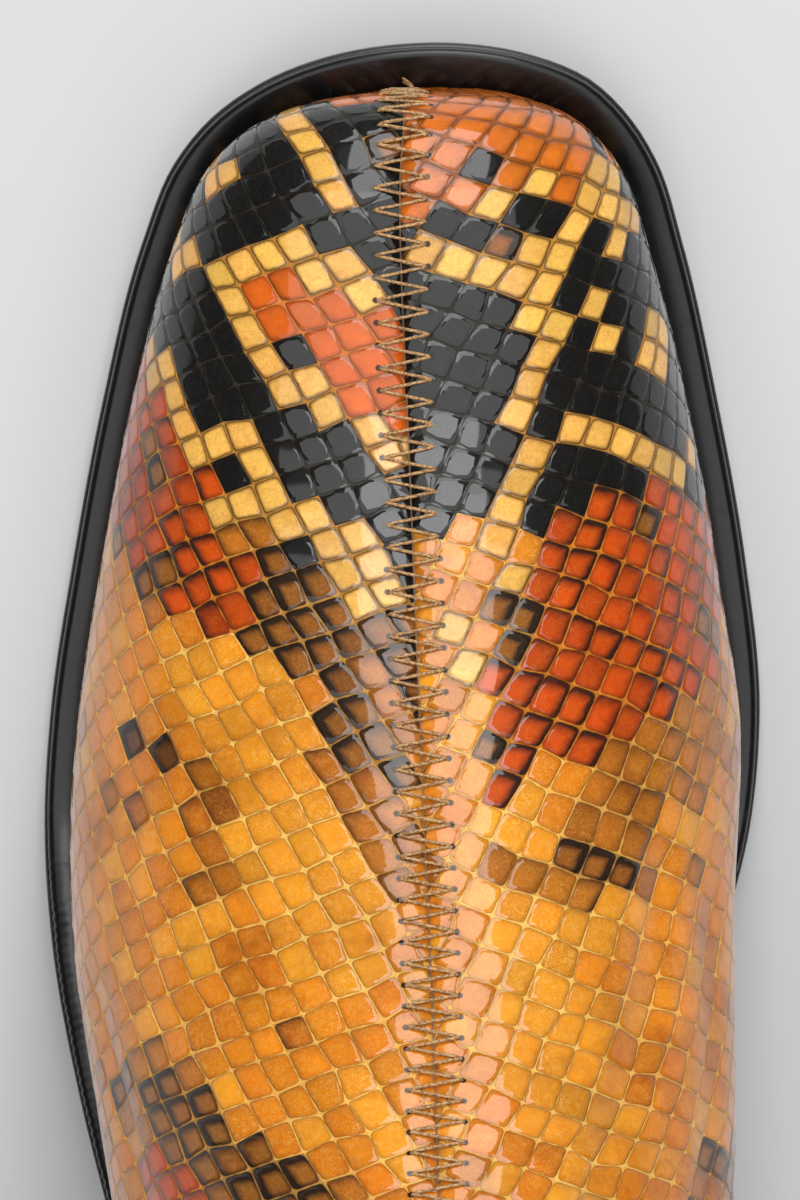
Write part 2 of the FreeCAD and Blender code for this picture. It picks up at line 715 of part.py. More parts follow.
def nail_places():
    centre_y = dim("heel_centre_y") - dim("heel_undercut") / 2
    return [Vector(dim("heel_centre_x") + x, centre_y + y, 0) for x, y in NAILS]


def heel_layer(name, bottom, top, expressions):
    """One layer of the heel, lofted between its two outlines and drilled for the nails."""
    body = new_body(name)
    low = attach(body, name + "_low", "XY_Plane", expressions[0])
    heel_outline(low, bottom)
    high = attach(body, name + "_high", "XY_Plane", expressions[1])
    heel_outline(high, top)
    loft = body.newObject("PartDesign::AdditiveLoft", name + "_loft")
    loft.Profile = (low, [""])
    loft.Sections = [(high, [""])]
    loft.Ruled = True
    holes = attach(body, name + "_nail_holes", "XY_Plane")
    for place in nail_places():
        holes.addGeometry(Part.Circle(place, Vector(0, 0, 1), dim("nail_hole_radius")))
    cut = body.newObject("PartDesign::Pocket", name + "_drilled")
    cut.Profile = (holes, [""])
    cut.SideType = "Symmetric"
    cut.Type = "ThroughAll"
    return body


cap = dim("cap_thickness")
lift = dim("lift_thickness")
heel_layer("heel_cap", 0, cap, ("0", "dims.cap_thickness"))
for number in range(LIFTS):
    heel_layer(f"heel_lift_{number + 1}", cap + number * lift, cap + (number + 1) * lift,
               (f"dims.cap_thickness + {number} * dims.lift_thickness",
                f"dims.cap_thickness + {number + 1} * dims.lift_thickness"))
stack_top = cap + LIFTS * lift

seat = heel_layer("heel_seat_lift", stack_top, heel_top + SEAT_STOCK,
                  (f"dims.cap_thickness + {LIFTS} * dims.lift_thickness",
                   f"{heel_top + SEAT_STOCK:.4f}"))
seat_cut = attach(seat, "heel_seat_side_view", "YZ_Plane")
seat_y = [breast - MARGIN + (half_length + 2 * MARGIN - breast) * i / PROFILE_STEPS
          for i in range(PROFILE_STEPS + 1)]
seat_points = [Vector(y, tread_height(y), 0) for y in seat_y]
seat_curve = Part.BSplineCurve()
seat_curve.interpolate(seat_points)
seat_cut.addGeometry(seat_curve)
ceiling = heel_top + 2 * MARGIN
roof = (Vector(seat_y[-1], ceiling, 0), Vector(seat_y[0], ceiling, 0))
seat_cut.addGeometry(Part.LineSegment(seat_points[-1], roof[0]))
seat_cut.addGeometry(Part.LineSegment(roof[0], roof[1]))
seat_cut.addGeometry(Part.LineSegment(roof[1], seat_points[0]))
seat_trim = seat.newObject("PartDesign::Pocket", "heel_seat_trim")
seat_trim.Profile = (seat_cut, [""])
seat_trim.SideType = "Symmetric"
seat_trim.Type = "ThroughAll"


def make_nails():
    """The heel nails: one group of equal pins, driven from the cap into the seat lift."""
    body = new_body("heel_nails")
    body.AllowCompound = True
    sketch = attach(body, "nail_circles", "XY_Plane", "0.5")
    for place in nail_places():
        sketch.addGeometry(Part.Circle(place, Vector(0, 0, 1), dim("nail_radius")))
    pad = body.newObject("PartDesign::Pad", "nail_pins")
    pad.Profile = (sketch, [""])
    pad.setExpression("Length", f"dims.cap_thickness + {LIFTS} * dims.lift_thickness + 2")


make_nails()

# ---------------------------------------------------------------- checks and files

document.recompute()
sub_parts = [item for item in document.Objects
             if item.isDerivedFrom("PartDesign::Body") or item.TypeId == "Part::Feature"]
failed = [item.Label for item in document.Objects
          if "Invalid" in item.State or "Error" in item.State]
failed += [item.Label for item in sub_parts if item.Shape.isNull() or not item.Shape.isValid()]
if failed:
    raise RuntimeError("failed: " + ", ".join(failed))

os.makedirs("parts", exist_ok=True)
for item in sub_parts:
    item.Shape.exportStep(f"parts/{item.Label}.step")
    box = item.Shape.BoundBox
    print(f"{item.Label:26s} {item.Shape.Volume:10.1f} mm3  x {box.XMin:7.2f} {box.XMax:7.2f}"
          f"  y {box.YMin:8.2f} {box.YMax:8.2f}  z {box.ZMin:7.2f} {box.ZMax:7.2f}")
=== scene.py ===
# %% [markdown]
# # A snakeskin cowboy boot
#
# This lesson builds a left boot around a finished CAD frame.  The frame fixes every size and place:
# the toe points to -Y, the outer (lateral) side is +X, up is +Z, and the ground is z = 0.  Blender
# works in metres.  The leather worker's sizes below are in millimetres, so MM turns them into metres.

import math
from contextlib import contextmanager

import bmesh
import bpy
import numpy as np
from mathutils import Matrix, Vector


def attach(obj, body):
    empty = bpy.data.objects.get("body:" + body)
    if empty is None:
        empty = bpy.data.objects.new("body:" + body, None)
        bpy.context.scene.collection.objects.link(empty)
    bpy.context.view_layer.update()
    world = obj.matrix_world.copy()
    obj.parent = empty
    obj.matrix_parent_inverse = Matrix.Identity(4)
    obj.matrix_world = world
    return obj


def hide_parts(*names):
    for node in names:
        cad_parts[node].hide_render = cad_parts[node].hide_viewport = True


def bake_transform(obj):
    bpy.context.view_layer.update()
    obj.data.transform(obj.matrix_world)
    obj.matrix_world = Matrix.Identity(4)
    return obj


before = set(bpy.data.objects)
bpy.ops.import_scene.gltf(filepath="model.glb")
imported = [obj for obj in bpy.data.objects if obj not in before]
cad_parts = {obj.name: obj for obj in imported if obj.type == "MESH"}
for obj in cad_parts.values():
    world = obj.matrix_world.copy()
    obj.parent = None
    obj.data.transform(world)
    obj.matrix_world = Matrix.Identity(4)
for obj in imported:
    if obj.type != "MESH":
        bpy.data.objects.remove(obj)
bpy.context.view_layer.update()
MM = 0.001
LATERAL, MEDIAL = 1, -1
SIDES = {"lateral": LATERAL, "medial": MEDIAL}

# %% [markdown]
# ## Smooth lines through a few points
#
# A boot is drawn from a handful of lines: the outline of the sole, the side view of the tread, the
# front seam and the back seam.  Blender's own curves could draw them, but here many pieces have to
# find points on the same lines, so one small class keeps each line as a function.  It is a cubic
# through the points, and numpy evaluates it for thousands of parameters at once.

# %% Lines as functions


class Line:
    """A smooth curve through points, as a function of one parameter."""

    def __init__(self, points, knots=None, closed=False):
        points = [np.atleast_1d(np.array(point, float)) for point in points]
        if closed:
            points.append(points[0])
        self.points = np.array(points)
        steps = np.linalg.norm(np.diff(self.points, axis=0), axis=1)
        self.knots = np.array(knots, float) if knots is not None else np.append(0, np.cumsum(steps))
        self.closed = closed
        self.length = self.knots[-1] - self.knots[0]
        spans = np.diff(self.knots)[:, None]
        chords = np.diff(self.points, axis=0) / spans
        inner = (chords[:-1] * spans[1:] + chords[1:] * spans[:-1]) / (spans[:-1] + spans[1:])
        first, last = chords[0], chords[-1]
        if closed:
            first = last = (chords[-1] * spans[0] + chords[0] * spans[-1]) / (spans[0] + spans[-1])
        self.slopes = np.vstack([first, inner, last])

    def __call__(self, parameter):
        parameter = np.asarray(parameter, float)
        if self.closed:
            parameter = parameter % self.length
        i = np.clip(np.searchsorted(self.knots, parameter, side="right") - 1, 0, len(self.knots) - 2)
        span = (self.knots[i + 1] - self.knots[i])[..., None]
        f = (parameter - self.knots[i])[..., None] / span
        inside = np.clip(f, 0, 1)
        beyond = (f - inside) * span
        a, b = self.points[i], self.points[i + 1]
        start, end = self.slopes[i], self.slopes[i + 1]
        value = (a * (2 * inside**3 - 3 * inside**2 + 1) + b * (3 * inside**2 - 2 * inside**3)
                 + span * (start * (inside**3 - 2 * inside**2 + inside)
                           + end * (inside**3 - inside**2)))
        return value + beyond * np.where(beyond < 0, start, end)


# %% [markdown]
# ## The sole's outline and tread
#
# The outline goes from the seam at the toe, round the lateral side to the back of the heel, and back
# along the medial side.  The tread line gives the height of the outsole's underside: up at the toe
# (toe spring), flat under the ball, up over the waist to the heel seat.

# %% Outline, tread and rim
TREAD = Line([14, 6.5, 1.2, 0, 1.5, 16, 33, 37.4, 38.7, 39],
             knots=[-140, -115, -85, -60, -35, 0, 40, 60, 80, 140])
LATERAL_OUTLINE = [(0.3, -139.8), (10.5, -138), (19, -134.6), (26.5, -129.2), (31, -123.6),
                   (35.6, -112.6), (41.4, -90.5), (45.8, -68), (49.2, -46), (50, -31), (48.8, -16),
                   (44.7, 3.6), (38.4, 25), (31.6, 46), (26.6, 68), (25, 90), (24.9, 110),
                   (20.9, 124.8), (10.2, 135.5)]
HEEL_X = -4.6
HEEL_BACK = (HEEL_X, 140)
MEDIAL_OUTLINE = [(-19.4, 135.5), (-30.1, 124.8), (-34.1, 110), (-33.6, 90), (-31.8, 68),
                  (-30.2, 46), (-32.6, 25), (-38.6, 3.6), (-44.6, -16), (-48.7, -31), (-50, -46),
                  (-47.8, -68), (-43.6, -90.5), (-38.4, -112.6), (-34.8, -123.6),
                  (-31.4, -129.2), (-25.9, -134.7), (-16.5, -138.6), (-8, -139.9)]
OUTLINE = Line(LATERAL_OUTLINE + [HEEL_BACK] + MEDIAL_OUTLINE, closed=True)
LATERAL_LENGTH = OUTLINE.knots[len(LATERAL_OUTLINE)]
MEDIAL_LENGTH = OUTLINE.length - LATERAL_LENGTH
RIM = Line([5.7, 5.5, 5.5, 3.5], knots=[-140, -105, 10, 80])
OUTSOLE_THICKNESS, WELT_THICKNESS, SEAT_GAP = 5, 3, 0.1
SEAT_HEIGHT = OUTSOLE_THICKNESS + WELT_THICKNESS


def tread_height(y):
    return TREAD(y)[..., 0]


def outline_distance(side, share):
    """Distance along the outline: share 0 is the toe, 1 the back of the heel, on either side."""
    share = np.asarray(share, float)
    return share * LATERAL_LENGTH if side == LATERAL else OUTLINE.length - share * MEDIAL_LENGTH


def inset_outline(distance, inset, follow_rim=False):
    """(x, y) of the outline at a distance along it, moved inwards; follow_rim adds the rim."""
    point = OUTLINE(distance)
    tangent = OUTLINE(distance + 0.5) - OUTLINE(distance - 0.5)
    tangent /= np.linalg.norm(tangent, axis=-1, keepdims=True)
    if follow_rim:
        inset = inset + RIM(point[..., 1])[..., 0]
    inward = np.stack([-tangent[..., 1], tangent[..., 0]], -1)
    return point + inward * np.asarray(inset)[..., None]


print(f"outline {OUTLINE.length:.0f} mm round")

# %% [markdown]
# ## The surface of the upper
#
# The upper closes over the foot like a tube that has been opened at the sole.  A point of it is named
# by its side, its station along the boot (0 at the toe, 12 at the heel, 18 at the ears of the shaft),
# how far around it lies (0 on the front seam, 1 at the sole or the back seam) and its depth inside the
# leather's face.  The same function places leather, thread, binding and straps, so they always meet.

# %% The upper as a function
HEEL_STATION, TOP_STATION = 12, 18
TOE_X, TOE_Y = inset_outline(0.0, 0, follow_rim=True)
TOE_Z = tread_height(TOE_Y) + SEAT_HEIGHT + SEAT_GAP
# One row a station: front seam (x, y, z), angle whose sine is the share of the sole line, half widths
# that the foot or leg needs (lateral, medial), and the roundness of the section.
STATIONS = Line([
    (TOE_X, TOE_Y, TOE_Z + 6, 0, 0, 0, 0.78),
    (TOE_X, TOE_Y + 0.8, TOE_Z + 14, 2.6, 0, 0, 0.78),
    (TOE_X, TOE_Y + 4.2, TOE_Z + 20, 5.2, 0, 0, 0.78),
    (0.3, -122.5, 43.4, 7.5, 0, 0, 0.78),
    (0.1, -110, 45.4, 10.1, 0, 0, 0.8),
    (-0.8, -90, 49, 14.5, 0, 0, 0.84),
    (-1.8, -65, 56.5, 19.6, 20, 30, 0.88),
    (-2.9, -40, 67.5, 24.8, 35, 37, 0.93),
    (-4.0, -16, 84.5, 30.7, 38, 39.5, 0.97),
    (-4.6, 4, 103, 36.9, 38.2, 38.2, 1),
    (-4.7, 19, 121, 44.4, 38.8, 38, 1),
    (-4.6, 28, 138, 58, 38.5, 37.6, 1),
    (-4.6, 34, 156, 90, 38, 37.4, 1),
    (-4.5, 37, 176, 124, 38, 37.8, 1),
    (-4.2, 37.5, 198, 124, 39, 39, 1),
    (-3.4, 35.5, 223, 124, 41, 41, 1),
    (-2.2, 30, 252, 124, 43.5, 43.5, 1),
    (-1.0, 22.5, 284, 124, 45.5, 45.5, 1),
    (0, 14, 318, 124, 47, 47, 1)], knots=range(TOP_STATION + 1))


def eased(step):
    return step * step / (step + 3)


HEEL_FEATHER_Y = inset_outline(LATERAL_LENGTH, 0, follow_rim=True)[1]
BACK = Line([(HEEL_FEATHER_Y, tread_height(HEEL_FEATHER_Y) + SEAT_HEIGHT + SEAT_GAP), (138.7, 62),
             (136.6, 96), (130, 145), (128.6, 200), (130.5, 256), (134, 312)],
            knots=[eased(step) for step in range(TOP_STATION - HEEL_STATION + 1)])
BULGE, MAXIMUM_POWER, STEP = 1.015, 8, 0.01


def signed_power(value, power):
    return np.sign(value) * np.abs(value) ** power


def side_normal(curve, place, columns):
    """Unit vector (y, z) square to a curve of the side view, on its right."""
    run = (curve(place + STEP) - curve(place - STEP))[..., list(columns)]
    run /= np.linalg.norm(run, axis=-1, keepdims=True)
    return np.stack([run[..., 1], -run[..., 0]], -1)


def boot_point(side, station, around, depth=0.0, gap=0.0):
    """Points of the upper in millimetres, one for each station and around."""
    station, around, depth = np.broadcast_arrays(*(np.asarray(a, float)
                                                   for a in (station, around, depth)))
    row = STATIONS(station)
    seam_x, angle, power = row[..., 0], row[..., 3], row[..., 6]
    front = row[..., 1:3] + side_normal(STATIONS, station, (1, 2)) * depth[..., None]
    foot = inset_outline(outline_distance(side, np.sin(np.radians(angle))), depth, follow_rim=True)
    foot_z = tread_height(foot[..., 1]) + SEAT_HEIGHT + SEAT_GAP
    climb = eased(np.maximum(station - HEEL_STATION, 0))
    back = BACK(climb) - side_normal(BACK, climb, (0, 1)) * depth[..., None]
    low = station <= HEEL_STATION
    base_x = np.where(low, foot[..., 0], seam_x)
    base_y = np.where(low, foot[..., 1], back[..., 0])
    base_z = np.where(low, foot_z, back[..., 1])
    half_base = np.maximum(0, side * (base_x - seam_x))
    half_leg = np.maximum(0, row[..., 4 if side == LATERAL else 5] - depth)
    half = ((BULGE * half_base) ** MAXIMUM_POWER + half_leg**MAXIMUM_POWER) ** (1 / MAXIMUM_POWER)
    ratio = np.where(half > 0, half_base / np.where(half > 0, half, 1), 1 / BULGE)
    sweep = np.pi - np.arcsin(np.minimum(1, ratio) ** (1 / power))
    turn = around * sweep
    fall = (1 - signed_power(np.cos(turn), power)) / (1 - signed_power(np.cos(sweep), power))
    x = seam_x + side * (gap + half * np.abs(np.sin(turn)) ** power)
    return np.stack([x, front[..., 0] + (base_y - front[..., 0]) * fall,
                     front[..., 1] + (base_z - front[..., 1]) * fall], -1)


def top_station(around):
    """The scalloped top line: dips at the front and the back, ears at the sides."""
    wave = np.cos(np.pi * around)
    return TOP_STATION - np.where(wave > 0, 1.1, 0.65) * np.abs(wave) ** 2.2


def outward(side, station, around):
    """Unit normal of the upper, out of the boot."""
    along = boot_point(side, station + STEP, around) - boot_point(side, station - STEP, around)
    inside = np.clip(around, 0.004, 0.996)
    across = boot_point(side, station, inside + 0.004) - boot_point(side, station, inside - 0.004)
    normal = np.cross(across, along) * side
    return normal / np.maximum(np.linalg.norm(normal, axis=-1, keepdims=True), 1e-9)


test = boot_point(LATERAL, np.array([5.0, 9.0, 15.0]), np.array([0.5, 0.5, 0.5]))
print("three points on the lateral side, mm:", np.round(test, 1).tolist())

# %% [markdown]
# ## A small kit for finishes
#
# A finish is a tree of shader nodes.  Wiring them by hand hides the idea, so a Field wraps one socket
# and lets Python's own operators add the Math nodes.  Colours go through Mix nodes instead, because a
# Math node would turn them grey.

# %% Fields and finishes


class Field:
    """A number that changes over a surface: one output socket of a shader tree."""

    def __init__(self, finish, socket):
        self.finish, self.socket = finish, socket

    def math(self, operation, *others):
        inputs = {i: value for i, value in enumerate((self, *others))}
        return self.finish.node("ShaderNodeMath", {"operation": operation}, inputs)

    def __add__(self, other):
        return self.math("ADD", other)

    __radd__ = __add__

    def __mul__(self, other):
        return self.math("MULTIPLY", other)

    __rmul__ = __mul__

    def __sub__(self, other):
        return self.math("SUBTRACT", other)

    def __rsub__(self, other):
        return (self * -1) + other

    def __pow__(self, other):
        return self.math("POWER", other)

    def __abs__(self):
        return self.math("ABSOLUTE")

    def fraction(self):
        return self.math("FRACT")

    def least(self, other):
        return self.math("MINIMUM", other)

    def most(self, other):
        return self.math("MAXIMUM", other)

    def ramp(self, low, high):
        """0 below low, 1 above high, smooth between; low may be the larger one."""
        settings = {"interpolation_type": "SMOOTHSTEP"}
        if low < high:
            return self.finish.node("ShaderNodeMapRange", settings, {0: self, 1: low, 2: high})
        return 1 - self.ramp(high, low)


class Finish:
    """A material, its Principled shader, and one method that adds any node."""

    def __init__(self, name, **constants):
        self.material = bpy.data.materials.new(name)
        self.material.use_nodes = True
        self.tree = self.material.node_tree
        self.shader = self.tree.nodes["Principled BSDF"]
        for socket, value in constants.items():
            self.shader.inputs[socket.replace("_", " ")].default_value = value
        self.coordinates = None

    def node(self, kind, settings=None, inputs=None, output=0):
        """Adds a node: its settings first, then values or links of its sockets."""
        node = self.tree.nodes.new(kind)
        for name, value in (settings or {}).items():
            setattr(node, name, value)
        for name, value in (inputs or {}).items():
            if isinstance(value, Field):
                self.tree.links.new(value.socket, node.inputs[name])
            else:
                node.inputs[name].default_value = value
        return Field(self, node.outputs[output])

    def place(self):
        """Object coordinates: metres in the boot's own frame."""
        if self.coordinates is None:
            self.coordinates = self.node("ShaderNodeTexCoord", output="Object")
        return self.coordinates

    def noise(self, scale, detail=3.0, stretch=(1, 1, 1), rough=0.5, kind="FBM"):
        """Noise with about scale lumps a metre, stretched along the axes."""
        where = self.node("ShaderNodeVectorMath", {"operation": "MULTIPLY"},
                          {0: self.place(), 1: stretch})
        return self.node("ShaderNodeTexNoise", {"noise_type": kind, "normalize": True},
                         {"Vector": where, "Scale": scale, "Detail": detail, "Roughness": rough})

    def mix(self, amount, first, second, blend="MIX"):
        """first where amount is 0, second where it is 1; both are colours."""
        return self.node("ShaderNodeMix", {"data_type": "RGBA", "blend_type": blend},
                         {0: amount, 6: first, 7: second}, output=2)

    def attribute(self, name, output="Fac"):
        return self.node("ShaderNodeAttribute", {"attribute_name": name}, output=output)

    def uv(self, name):
        where = self.node("ShaderNodeUVMap", {"uv_map": name})
        parts = self.node("ShaderNodeSeparateXYZ", None, {0: where}).socket.node.outputs
        return Field(self, parts[0]), Field(self, parts[1])

    def set(self, **links):
        for socket, value in links.items():
            self.tree.links.new(value.socket, self.shader.inputs[socket.replace("_", " ")])
        return self

    def bump(self, height, depth):
        """A relief of depth metres where height goes from 0 to 1."""
        return self.set(Normal=self.node("ShaderNodeBump", None, {"Distance": depth,
                                                                  "Height": height}))


def rgb(red, green, blue):
    """A colour from 0 to 255 as paint charts give it, made linear for the shader."""
    def linear(value):
        value /= 255
        return value / 12.92 if value <= 0.04045 else ((value + 0.055) / 1.055) ** 2.4
    return (linear(red), linear(green), linear(blue), 1.0)


print("kit ready")

# %% [markdown]
# ## The embossed, varnished leather
#
# The real leather is embossed with a python's scales, painted scale by scale and varnished.  Each
# scale is a real cell of the mesh with a small square of UV coordinates of its own, so the shader
# knows how far a point is from its scale's edge.  The paint's tones are stored on the faces.  The
# shader adds what a brush and a plate leave: a pale or dark line in the grooves, hair-fine fibres,
# dark borders, and varnish that is thick on the scales and missing in the grooves.

# %% Scale leather finish
STITCH_PITCH = 2.95
STITCH_HALF = 3.4
HOLE_RADIUS = 0.34
SCALE_SQUARENESS = 7
GROOVE_START, GROOVE_FULL = 0.915, 0.995
RING_START, RING_FULL = 0.6, 0.95
EMBOSSING_DEPTH = 0.0002


def scale_leather():
    leather = Finish("scale_leather", Coat_Roughness=0.035, Coat_IOR=1.44, Specular_IOR_Level=0.12)

    def tinted(colour, red, green, blue):
        return leather.node("ShaderNodeVectorMath", {"operation": "MULTIPLY"},
                            {0: colour, 1: (red, green, blue)})

    def hairs(scale, seed, width):
        """Thin wandering lines: the places where a noise passes its middle value."""
        where = leather.node("ShaderNodeVectorMath", {"operation": "ADD"},
                             {0: leather.place(), 1: (seed, seed, seed)})
        level = leather.node("ShaderNodeTexNoise", None, {"Vector": where, "Scale": scale,
                                                          "Detail": 4, "Distortion": 2.2})
        return 1 - abs(level - 0.5).ramp(0, width)

    s, t = leather.uv("scale")
    edge = ((abs(s * 2 - 1) ** SCALE_SQUARENESS)
            + (abs(t * 2 - 1) ** SCALE_SQUARENESS)) ** (1 / SCALE_SQUARENESS)
    edge = edge + (leather.noise(650, 3) - 0.5) * 0.16 + (leather.noise(170, 2) - 0.5) * 0.14
    groove = edge.ramp(GROOVE_START, GROOVE_FULL)
    ring = edge.ramp(RING_START, RING_FULL)
    paint = leather.attribute("scale_paint", "Color")
    line = leather.attribute("groove_paint", "Color")
    shade = leather.attribute("shade")
    fibre = leather.attribute("fibre")
    patches = leather.noise(330, 4, rough=0.6)
    colour = leather.mix(patches.ramp(0.46, 0.74) * 0.4, paint, tinted(paint, 0.74, 0.58, 0.4))
    colour = leather.mix(leather.noise(900, 3).ramp(0.5, 0.75) * 0.35, colour,
                         tinted(paint, 1.25, 1.3, 1.2))
    colour = leather.mix(ring * fibre * 0.5, colour, tinted(paint, 0.72, 0.55, 0.4))
    fibres = hairs(520, 0.3, 0.035).most(hairs(900, 0.7, 0.05) * 0.7)
    colour = leather.mix(fibres * fibre * 0.75, colour, line)
    # dark is the paint of scale borders and outlines, and also the painted shade of the needle holes.
    dark = leather.node("ShaderNodeRGB")
    dark.socket.default_value = rgb(22, 13, 6)
    corner = (1 - s).least(t)
    stain = (1 - corner.ramp(0.0, 0.5)) * shade * 1.25 + ring * shade * 0.3
    cloud = leather.noise(48, 4, rough=0.65).ramp(0.45, 0.72) * leather.attribute("cloud")
    stain = (stain * (0.35 + patches * 1.3)).least(1.0)
    colour = leather.mix(stain * 0.95, colour, dark)
    colour = leather.mix(cloud * (0.35 + patches * 0.6), colour, tinted(paint, 0.42, 0.3, 0.2))
    outline = (ring * ring - groove).most(0.0) * leather.attribute("outline")
    colour = leather.mix(outline.least(1.0), colour, dark)
    line = leather.mix(stain * 0.45 + cloud * 0.3, line, tinted(line, 0.3, 0.26, 0.22))
    colour = leather.mix(groove * 0.9, colour, line)
    along, across = leather.uv("seam")
    dx = (along.fraction() - 0.5) * STITCH_PITCH
    dy = across - STITCH_HALF
    hole = 1 - (dx * dx + dy * dy).math("SQRT").ramp(HOLE_RADIUS * 0.7, HOLE_RADIUS * 1.4)
    # The needle holes are painted dark: painted shade inside the holes, which are only a bump here.
    colour = leather.mix(hole, colour, dark)
    leather.set(Base_Color=colour, Roughness=0.32 + groove * 0.3 + hole * 0.3,
                Coat_Weight=0.95 - groove * 0.7)
    return leather.bump(1 - groove - hole * 2 + leather.noise(1500, 3) * 0.06 + fibres * 0.08,
                        EMBOSSING_DEPTH)


SCALE_LEATHER = scale_leather()
print("scale leather nodes:", len(SCALE_LEATHER.tree.nodes))

# %% [markdown]
# ## Laying the leather out flat
#
# To emboss and paint a panel, a maker works on the flat leather.  Here the flat sheet has two
# measures: how far down the boot a point lies (along a line a third of the way round) and how far it
# lies from the front seam.  Two tables turn them into station and around, and so into the shaped boot.

# %% The flat sheet
MIDDLE_LINE = 0.35
FINE_STATIONS = np.linspace(0, TOP_STATION, 361)
FINE_AROUND = np.linspace(0, 1, 81)


class Sheet:
    """One half of the upper, laid out flat in millimetres."""

    def __init__(self, side):
        self.side = side
        rows = boot_point(side, FINE_STATIONS[:, None], FINE_AROUND[None, :])
        lengths = np.cumsum(np.linalg.norm(np.diff(rows, axis=1), axis=2), axis=1)
        lengths = np.insert(lengths, 0, 0, axis=1)
        self.girth = lengths[:, -1]
        self.turns = np.array([np.interp(FINE_AROUND * row[-1], row, FINE_AROUND) for row in lengths])
        self.down = self.run(boot_point(side, FINE_STATIONS, MIDDLE_LINE))
        self.seam = self.run(boot_point(side, FINE_STATIONS, 0))

    @staticmethod
    def run(points):
        return np.append(0, np.cumsum(np.linalg.norm(np.diff(points, axis=0), axis=1)))

    def station(self, down):
        slope = 1 / (self.down[1] * (len(FINE_STATIONS) - 1) / TOP_STATION)
        inside = np.interp(down, self.down, FINE_STATIONS)
        return inside + np.minimum(down, 0) * slope + np.maximum(down - self.down[-1], 0) * slope

    def share(self, station, across):
        """Distance from the seam as a share of the girth there."""
        return across / np.interp(station, FINE_STATIONS, self.girth)

    def around(self, station, share):
        """Turns an even share of the girth into around, from a table of both."""
        row = np.clip(station, 0, TOP_STATION) / TOP_STATION * (len(FINE_STATIONS) - 1)
        column = np.clip(share, 0, 1) * (len(FINE_AROUND) - 1)
        i = np.minimum(row.astype(int), len(FINE_STATIONS) - 2)
        j = np.minimum(column.astype(int), len(FINE_AROUND) - 2)
        f, g = row - i, column - j
        turns = self.turns
        return ((turns[i, j] * (1 - g) + turns[i, j + 1] * g) * (1 - f)
                + (turns[i + 1, j] * (1 - g) + turns[i + 1, j + 1] * g) * f)

    def seam_length(self, station):
        return np.interp(station, FINE_STATIONS, self.seam)

    def seam_station(self, length):
        return np.interp(length, self.seam, FINE_STATIONS)


SHEETS = {name: Sheet(side) for name, side in SIDES.items()}
for name, sheet in SHEETS.items():
    print(f"{name} sheet: {sheet.down[-1]:.0f} mm long, seam {sheet.seam[-1]:.0f} mm")

# %% [markdown]
# ## The scales
#
# The scales sit in rows that slant away from the seam, mirrored on the two halves.  A loop could place
# thousands of separate scales, but the real ones are pressed into one skin, so the sheet is divided
# into slanting cells with slightly wandering corners.  Each cell gets sixteen faces: a sunk border, a
# flat top with cut corners, and a low middle.

# %% Dividing a sheet into scales
SCALE_WIDTH, SCALE_HEIGHT = 4.3, 4.5
ROW_DIRECTION = np.array([0.34, 0.94])
COLUMN_DIRECTION = np.array([0.88, -0.47])
CORNER_WANDER = 0.42
BORDER = 0.1
CELL_STEPS = np.array([0, BORDER, 0.5, 1 - BORDER, 1])
GRID = len(CELL_STEPS)
CORNER_CUT = 0.07
SHEET_MARGIN = 7


def sheet_warp(down, across):
    """Slow bends of the rows, so that they aren't ruled lines."""
    bend = 1.3 * np.sin(down / 23 + across / 31) + 1.1 * np.sin(across / 12 + 1)
    shift = 1.2 * np.sin(across / 19 + down / 37) + 0.9 * np.sin(down / 11)
    return down + bend, across + shift


def scale_cells(sheet, rng):
    """Cell corners as (cells, 2, 2, [down, across]) in millimetres."""
    reach = int((sheet.down[-1] + sheet.girth.max()) / SCALE_WIDTH)
    i, j = np.meshgrid(np.arange(-reach, reach), np.arange(-reach, reach), indexing="ij")
    corners = (i[..., None] * SCALE_WIDTH * ROW_DIRECTION
               + j[..., None] * SCALE_HEIGHT * COLUMN_DIRECTION)
    corners = corners + rng.uniform(-CORNER_WANDER, CORNER_WANDER, corners.shape)
    down, across = sheet_warp(corners[..., 0], corners[..., 1])
    corners = np.stack([down, across], -1)
    cells = np.stack([np.stack([corners[:-1, :-1], corners[:-1, 1:]], 2),
                      np.stack([corners[1:, :-1], corners[1:, 1:]], 2)], 2)
    centre = cells.mean((2, 3))
    girth = np.interp(centre[..., 0], sheet.down, sheet.girth)
    keep = ((centre[..., 0] > -SHEET_MARGIN) & (centre[..., 0] < sheet.down[-1] + SHEET_MARGIN)
            & (centre[..., 1] > -SHEET_MARGIN) & (centre[..., 1] < girth + SHEET_MARGIN))
    return cells[keep]


def cell_grid():
    """The places (s, t) in a cell; those next to a corner are moved in to cut it."""
    s, t = np.meshgrid(CELL_STEPS, CELL_STEPS, indexing="ij")
    near_s, near_t = np.isin(s, (BORDER, 1 - BORDER)), np.isin(t, (BORDER, 1 - BORDER))
    cut = CORNER_CUT * (near_s & near_t)
    return s + cut * np.sign(0.5 - s), t + cut * np.sign(0.5 - t)


rng = np.random.default_rng(12)
CELLS = {name: scale_cells(sheet, rng) for name, sheet in SHEETS.items()}
print("scales:", {name: len(cells) for name, cells in CELLS.items()})

# %% [markdown]
# ## Painting the scales
#
# Each scale has one tone.  The tones, and the patches that carry them, are laid out as a painter
# would: wide fields first, then chains of pale scales one scale wide, then spots.  A patch is a short
# line of places in plan view (millimetres out from the middle, millimetres along the boot) with a
# half width.  Behind the instep, on the heel and the shaft, the same motif goes on: dark islands with
# a pale chain round them and rust between.

